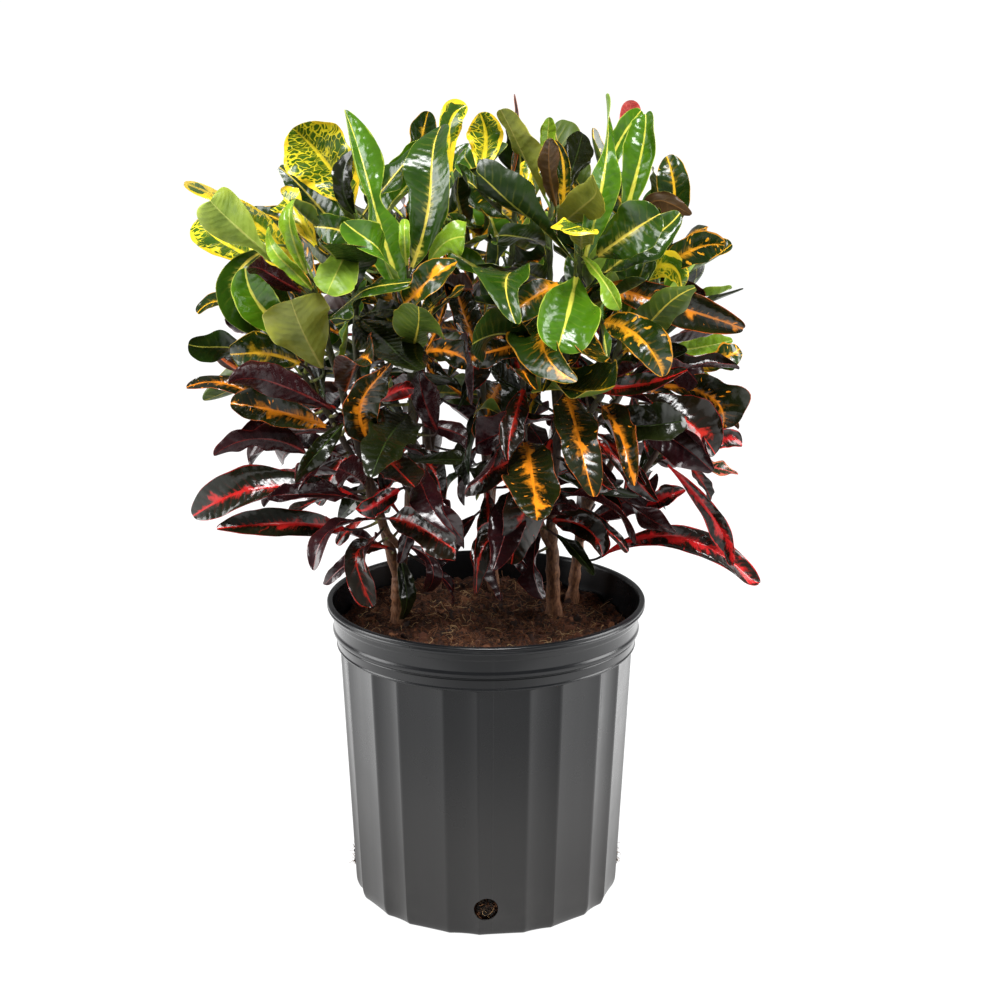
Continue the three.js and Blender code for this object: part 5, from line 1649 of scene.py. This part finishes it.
class CrotonStageSettings(bpy.types.PropertyGroup):
    """The studio's floor and light."""

    floor: bpy.props.FloatVectorProperty(
        name="Floor", description="Colour of the floor", subtype="COLOR", size=3, default=(0.08, 0.08, 0.08),
        min=0, max=1)
    daylight: bpy.props.FloatProperty(
        name="Daylight", description="Light from all round", default=0.29, min=0)


class CROTON_OT_pot(bpy.types.Operator):
    """Makes the fluted nursery pot with its drain holes"""

    bl_idname = "croton.pot"
    bl_label = "Nursery Pot"

    def execute(self, context):
        settings = context.scene.croton_pot
        material = pot_finish(settings.colour, settings.roughness)
        section = filleted(POT_SECTION)
        points = np.stack((section[:, 0], 0 * section[:, 0], section[:, 1]), 1)
        edges = [(i, i + 1) for i in range(len(points) - 1)]
        profile = mesh_of("section", points, [], edges, fluted=section[:, 2])
        pot = pot_recipe(material).run(profile, "nursery_pot", Turns=settings.turns,
                                       Flute_depth=settings.flute_depth, Flute_turn=settings.flute_turn)
        merged(pot.data, POT_MERGE)
        drilled(pot)
        pot.data.shade_smooth()
        pot.data.set_sharp_from_angle(angle=math.radians(POT_SHARP_ANGLE))
        finished(pot, "pot_plastic", "pot")
        return {"FINISHED"}


class CROTON_OT_soil(bpy.types.Operator):
    """Makes the bed of coir soil with its loose fibres and crumbs"""

    bl_idname = "croton.soil"
    bl_label = "Coir Soil"

    def execute(self, context):
        settings = context.scene.croton_soil
        bed = linked("soil_bed", soil_bed(sides=SOIL_SIDE))
        bed.data.materials.append(soil_finish(settings.dark, settings.pale))
        finished(bed, "coir_soil", "soil")
        shreds = shred_finish("coir_shreds", (0.03, 0.012, 0.006), (0.2, 0.08, 0.032), (0.55, 0.36, 0.17))
        bark = shred_finish("bark_crumbs", (0.012, 0.005, 0.003), (0.085, 0.026, 0.011), (0.23, 0.09, 0.038))
        # Crumbs in the drain holes take soil colours darkened nearly to black: painted shade of the holes
        shaded_drain_soil = shred_finish("moist_soil", (0.004, 0.003, 0.002), (0.014, 0.008, 0.005), (0.05, 0.03, 0.015))
        fibres, crumbs, plugs = fibres_recipe(shreds), crumbs_recipe(bark), crumbs_recipe(shaded_drain_soil)
        loose = (
            ("coir_fibres", fibres, soil_bed(0.92), settings.fibres,
             {"Length": 1.35, "Stand": 0.35, "Seed": 1}),
            ("drain_roots", fibres, drain_plugs(), 300000.0, {"Length": 0.8, "Stand": 1.6, "Seed": 5}),
            ("soil_crumbs", crumbs, soil_bed(0.98), settings.crumbs, {"Size": 1.0, "Seed": 3}),
            ("bark_chunks", crumbs, soil_bed(0.94), settings.chunks, {"Size": 2.6, "Seed": 4}),
            ("drain_crumbs", plugs, drain_plugs(), 500000.0, {"Size": 1.0, "Seed": 6}),
        )
        for name, recipe, under, density, values in loose:
            finished(recipe.run(under, name, Density=density, **values), "coir_soil")
        return {"FINISHED"}


class CROTON_OT_plants(bpy.types.Operator):
    """Makes the five cuttings: their stems, leaf stalks and leaves"""

    bl_idname = "croton.plants"
    bl_label = "Croton Cuttings"

    def execute(self, context):
        settings = context.scene.croton_leaf
        leaf, bark = leaf_finish(settings.gloss), stem_finish()
        choose, inner_choose = (np.random.default_rng(settings.seed + k) for k in (0, 1))
        recipe = bars_recipe(bark)
        crown = Crown()
        more = filled(crown)
        for plant in crown.plants:
            mesh = leaves_mesh(plant, plant.leaves, plant.looks, FORMS[plant.name], ROWS, COLUMNS, choose)
            mesh.materials.append(leaf)
            finished(linked(f"leaves_{plant.name}", mesh), "foliage", f"plant_{plant.name}")
            inner = more[plant.name]
            mesh = leaves_mesh(plant, inner, [None] * len(inner), {}, FILL_ROWS, FILL_COLUMNS,
                               inner_choose)
            mesh.materials.append(leaf)
            finished(linked(f"inner_leaves_{plant.name}", mesh), "foliage")
            lines = stems_mesh(plant, plant.leaves + inner, inner_choose)
            stems = recipe.run(lines, f"stems_{plant.name}", Sides=settings.stem_sides)
            stems.data.shade_smooth()
            finished(stems, "foliage", f"plant_{plant.name}")
        return {"FINISHED"}


def studio_world(daylight):
    """Even light from all round, before a backdrop as white as the floor."""
    world = bpy.data.worlds.new("studio")
    world.use_nodes = True
    sky = Graph()
    sky.tree = world.node_tree
    sky.tree.nodes.clear()
    white = (1, 1, 1, 1)
    around = sky.node("ShaderNodeBackground", None, {"Color": white, "Strength": daylight})
    backdrop = sky.node("ShaderNodeBackground", None, {"Color": white, "Strength": FLOOR_GLOW})
    seen = sky.node("ShaderNodeLightPath", None, None, "Is Camera Ray")
    shown = sky.node("ShaderNodeMixShader", None, {0: seen, 1: around, 2: backdrop})
    sky.node("ShaderNodeOutputWorld", None, {"Surface": shown}, None)
    return world


class CROTON_OT_stage(bpy.types.Operator):
    """Makes the pale floor, the soft studio light and the camera"""

    bl_idname = "croton.stage"
    bl_label = "Studio"

    def execute(self, context):
        settings = context.scene.croton_stage
        corners = [(x * FLOOR_REACH, y * FLOOR_REACH, 0) for x, y in ((-1, -1), (1, -1), (1, 1), (-1, 1))]
        floor = linked("floor", mesh_of("floor", corners, [(0, 1, 2, 3)]))
        f = Finish("studio_floor")
        x, y, _ = f.parts(f.place())
        beside = abs(x).step(*GLOW_BEGINS) * abs(x).step(*GLOW_ENDS) * abs(y - GLOW_AT).step(*GLOW_REACH)
        glow = f.colour(beside, (FLOOR_GLOW,) * 3, (SIDE_GLOW,) * 3)
        floor.data.materials.append(f.done(Base_Color=(*shade(settings.floor), 1), Roughness=0.9,
                                           Emission_Color=glow, Emission_Strength=1.0))
        context.scene.world = studio_world(settings.daylight)
        context.scene.view_settings.view_transform = "Standard"
        for name, place, width, height, watts in SOFTBOXES:
            light = bpy.data.lights.new(name, "AREA")
            light.shape = "RECTANGLE"
            light.size, light.size_y, light.energy = width, height, watts
            lamp = bpy.data.objects.new(name, light)
            lamp.location = place
            lamp.rotation_euler = (Vector(AIM) - Vector(place)).to_track_quat("-Z", "Y").to_euler()
            context.scene.collection.objects.link(lamp)
        lens = bpy.data.cameras.new("camera")
        lens.sensor_width = 36
        lens.lens = FOCAL_LENGTH
        lens.shift_x = CAMERA_SHIFT
        camera = bpy.data.objects.new("camera", lens)
        camera.location = CAMERA_PLACE
        camera.rotation_euler = (math.radians(90 - CAMERA_PITCH), 0, 0)
        context.scene.collection.objects.link(camera)
        context.scene.camera = camera
        return {"FINISHED"}


class CROTON_PT_panel(bpy.types.Panel):
    """Settings and pieces of the potted croton"""

    bl_idname = "CROTON_PT_panel"
    bl_label = "Potted Croton"
    bl_space_type = "VIEW_3D"
    bl_region_type = "UI"
    bl_category = "Croton"

    def draw(self, context):
        for group, operator in SECTIONS:
            box = self.layout.box()
            settings = getattr(context.scene, group)
            for name in settings.__annotations__:
                box.prop(settings, name)
            box.operator(operator)


# Camera of the photograph and the studio's lights: place in metres, width, height and power in watts
FOCAL_LENGTH = 84.8
CAMERA_SHIFT = 0.014
CAMERA_PLACE = (0, -1.7885, 0.8333)
CAMERA_PITCH = 15.8
AIM = (0, 0, 0.36)
FLOOR_REACH = 20000
FLOOR_GLOW = 1.0
# The floor glows more at both sides of the pot: the distances in metres that this begins and ends over, to
# the sides and along
SIDE_GLOW = 1.95
GLOW_BEGINS = (0.12, 0.36)
GLOW_ENDS = (1.6, 1.0)
GLOW_AT = -0.2
GLOW_REACH = (1.1, 0.6)
SOFTBOXES = (
    ("softbox_left", (-1.4, -0.1, 0.85), 0.8, 1.4, 36),
    ("softbox_right", (1.4, 0.0, 0.85), 0.8, 1.4, 40),
    ("softbox_top", (0.1, -0.9, 1.9), 0.8, 0.5, 49),
)

SECTIONS = (
    ("croton_pot", "croton.pot"),
    ("croton_soil", "croton.soil"),
    ("croton_leaf", "croton.plants"),
    ("croton_stage", "croton.stage"),
)
SETTINGS = {
    "croton_pot": CrotonPotSettings,
    "croton_soil": CrotonSoilSettings,
    "croton_leaf": CrotonLeafSettings,
    "croton_stage": CrotonStageSettings,
}
CLASSES = (
    *SETTINGS.values(),
    CROTON_OT_pot,
    CROTON_OT_soil,
    CROTON_OT_plants,
    CROTON_OT_stage,
    CROTON_PT_panel,
)


def register():
    for made in CLASSES:
        bpy.utils.register_class(made)
    for name, group in SETTINGS.items():
        setattr(bpy.types.Scene, name, bpy.props.PointerProperty(type=group))


def unregister():
    for name in SETTINGS:
        delattr(bpy.types.Scene, name)
    for made in reversed(CLASSES):
        bpy.utils.unregister_class(made)


def main():
    register()
    bpy.ops.croton.pot()
    bpy.ops.croton.soil()
    bpy.ops.croton.plants()
    bpy.ops.croton.stage()


if __name__ == "__main__":
    main()
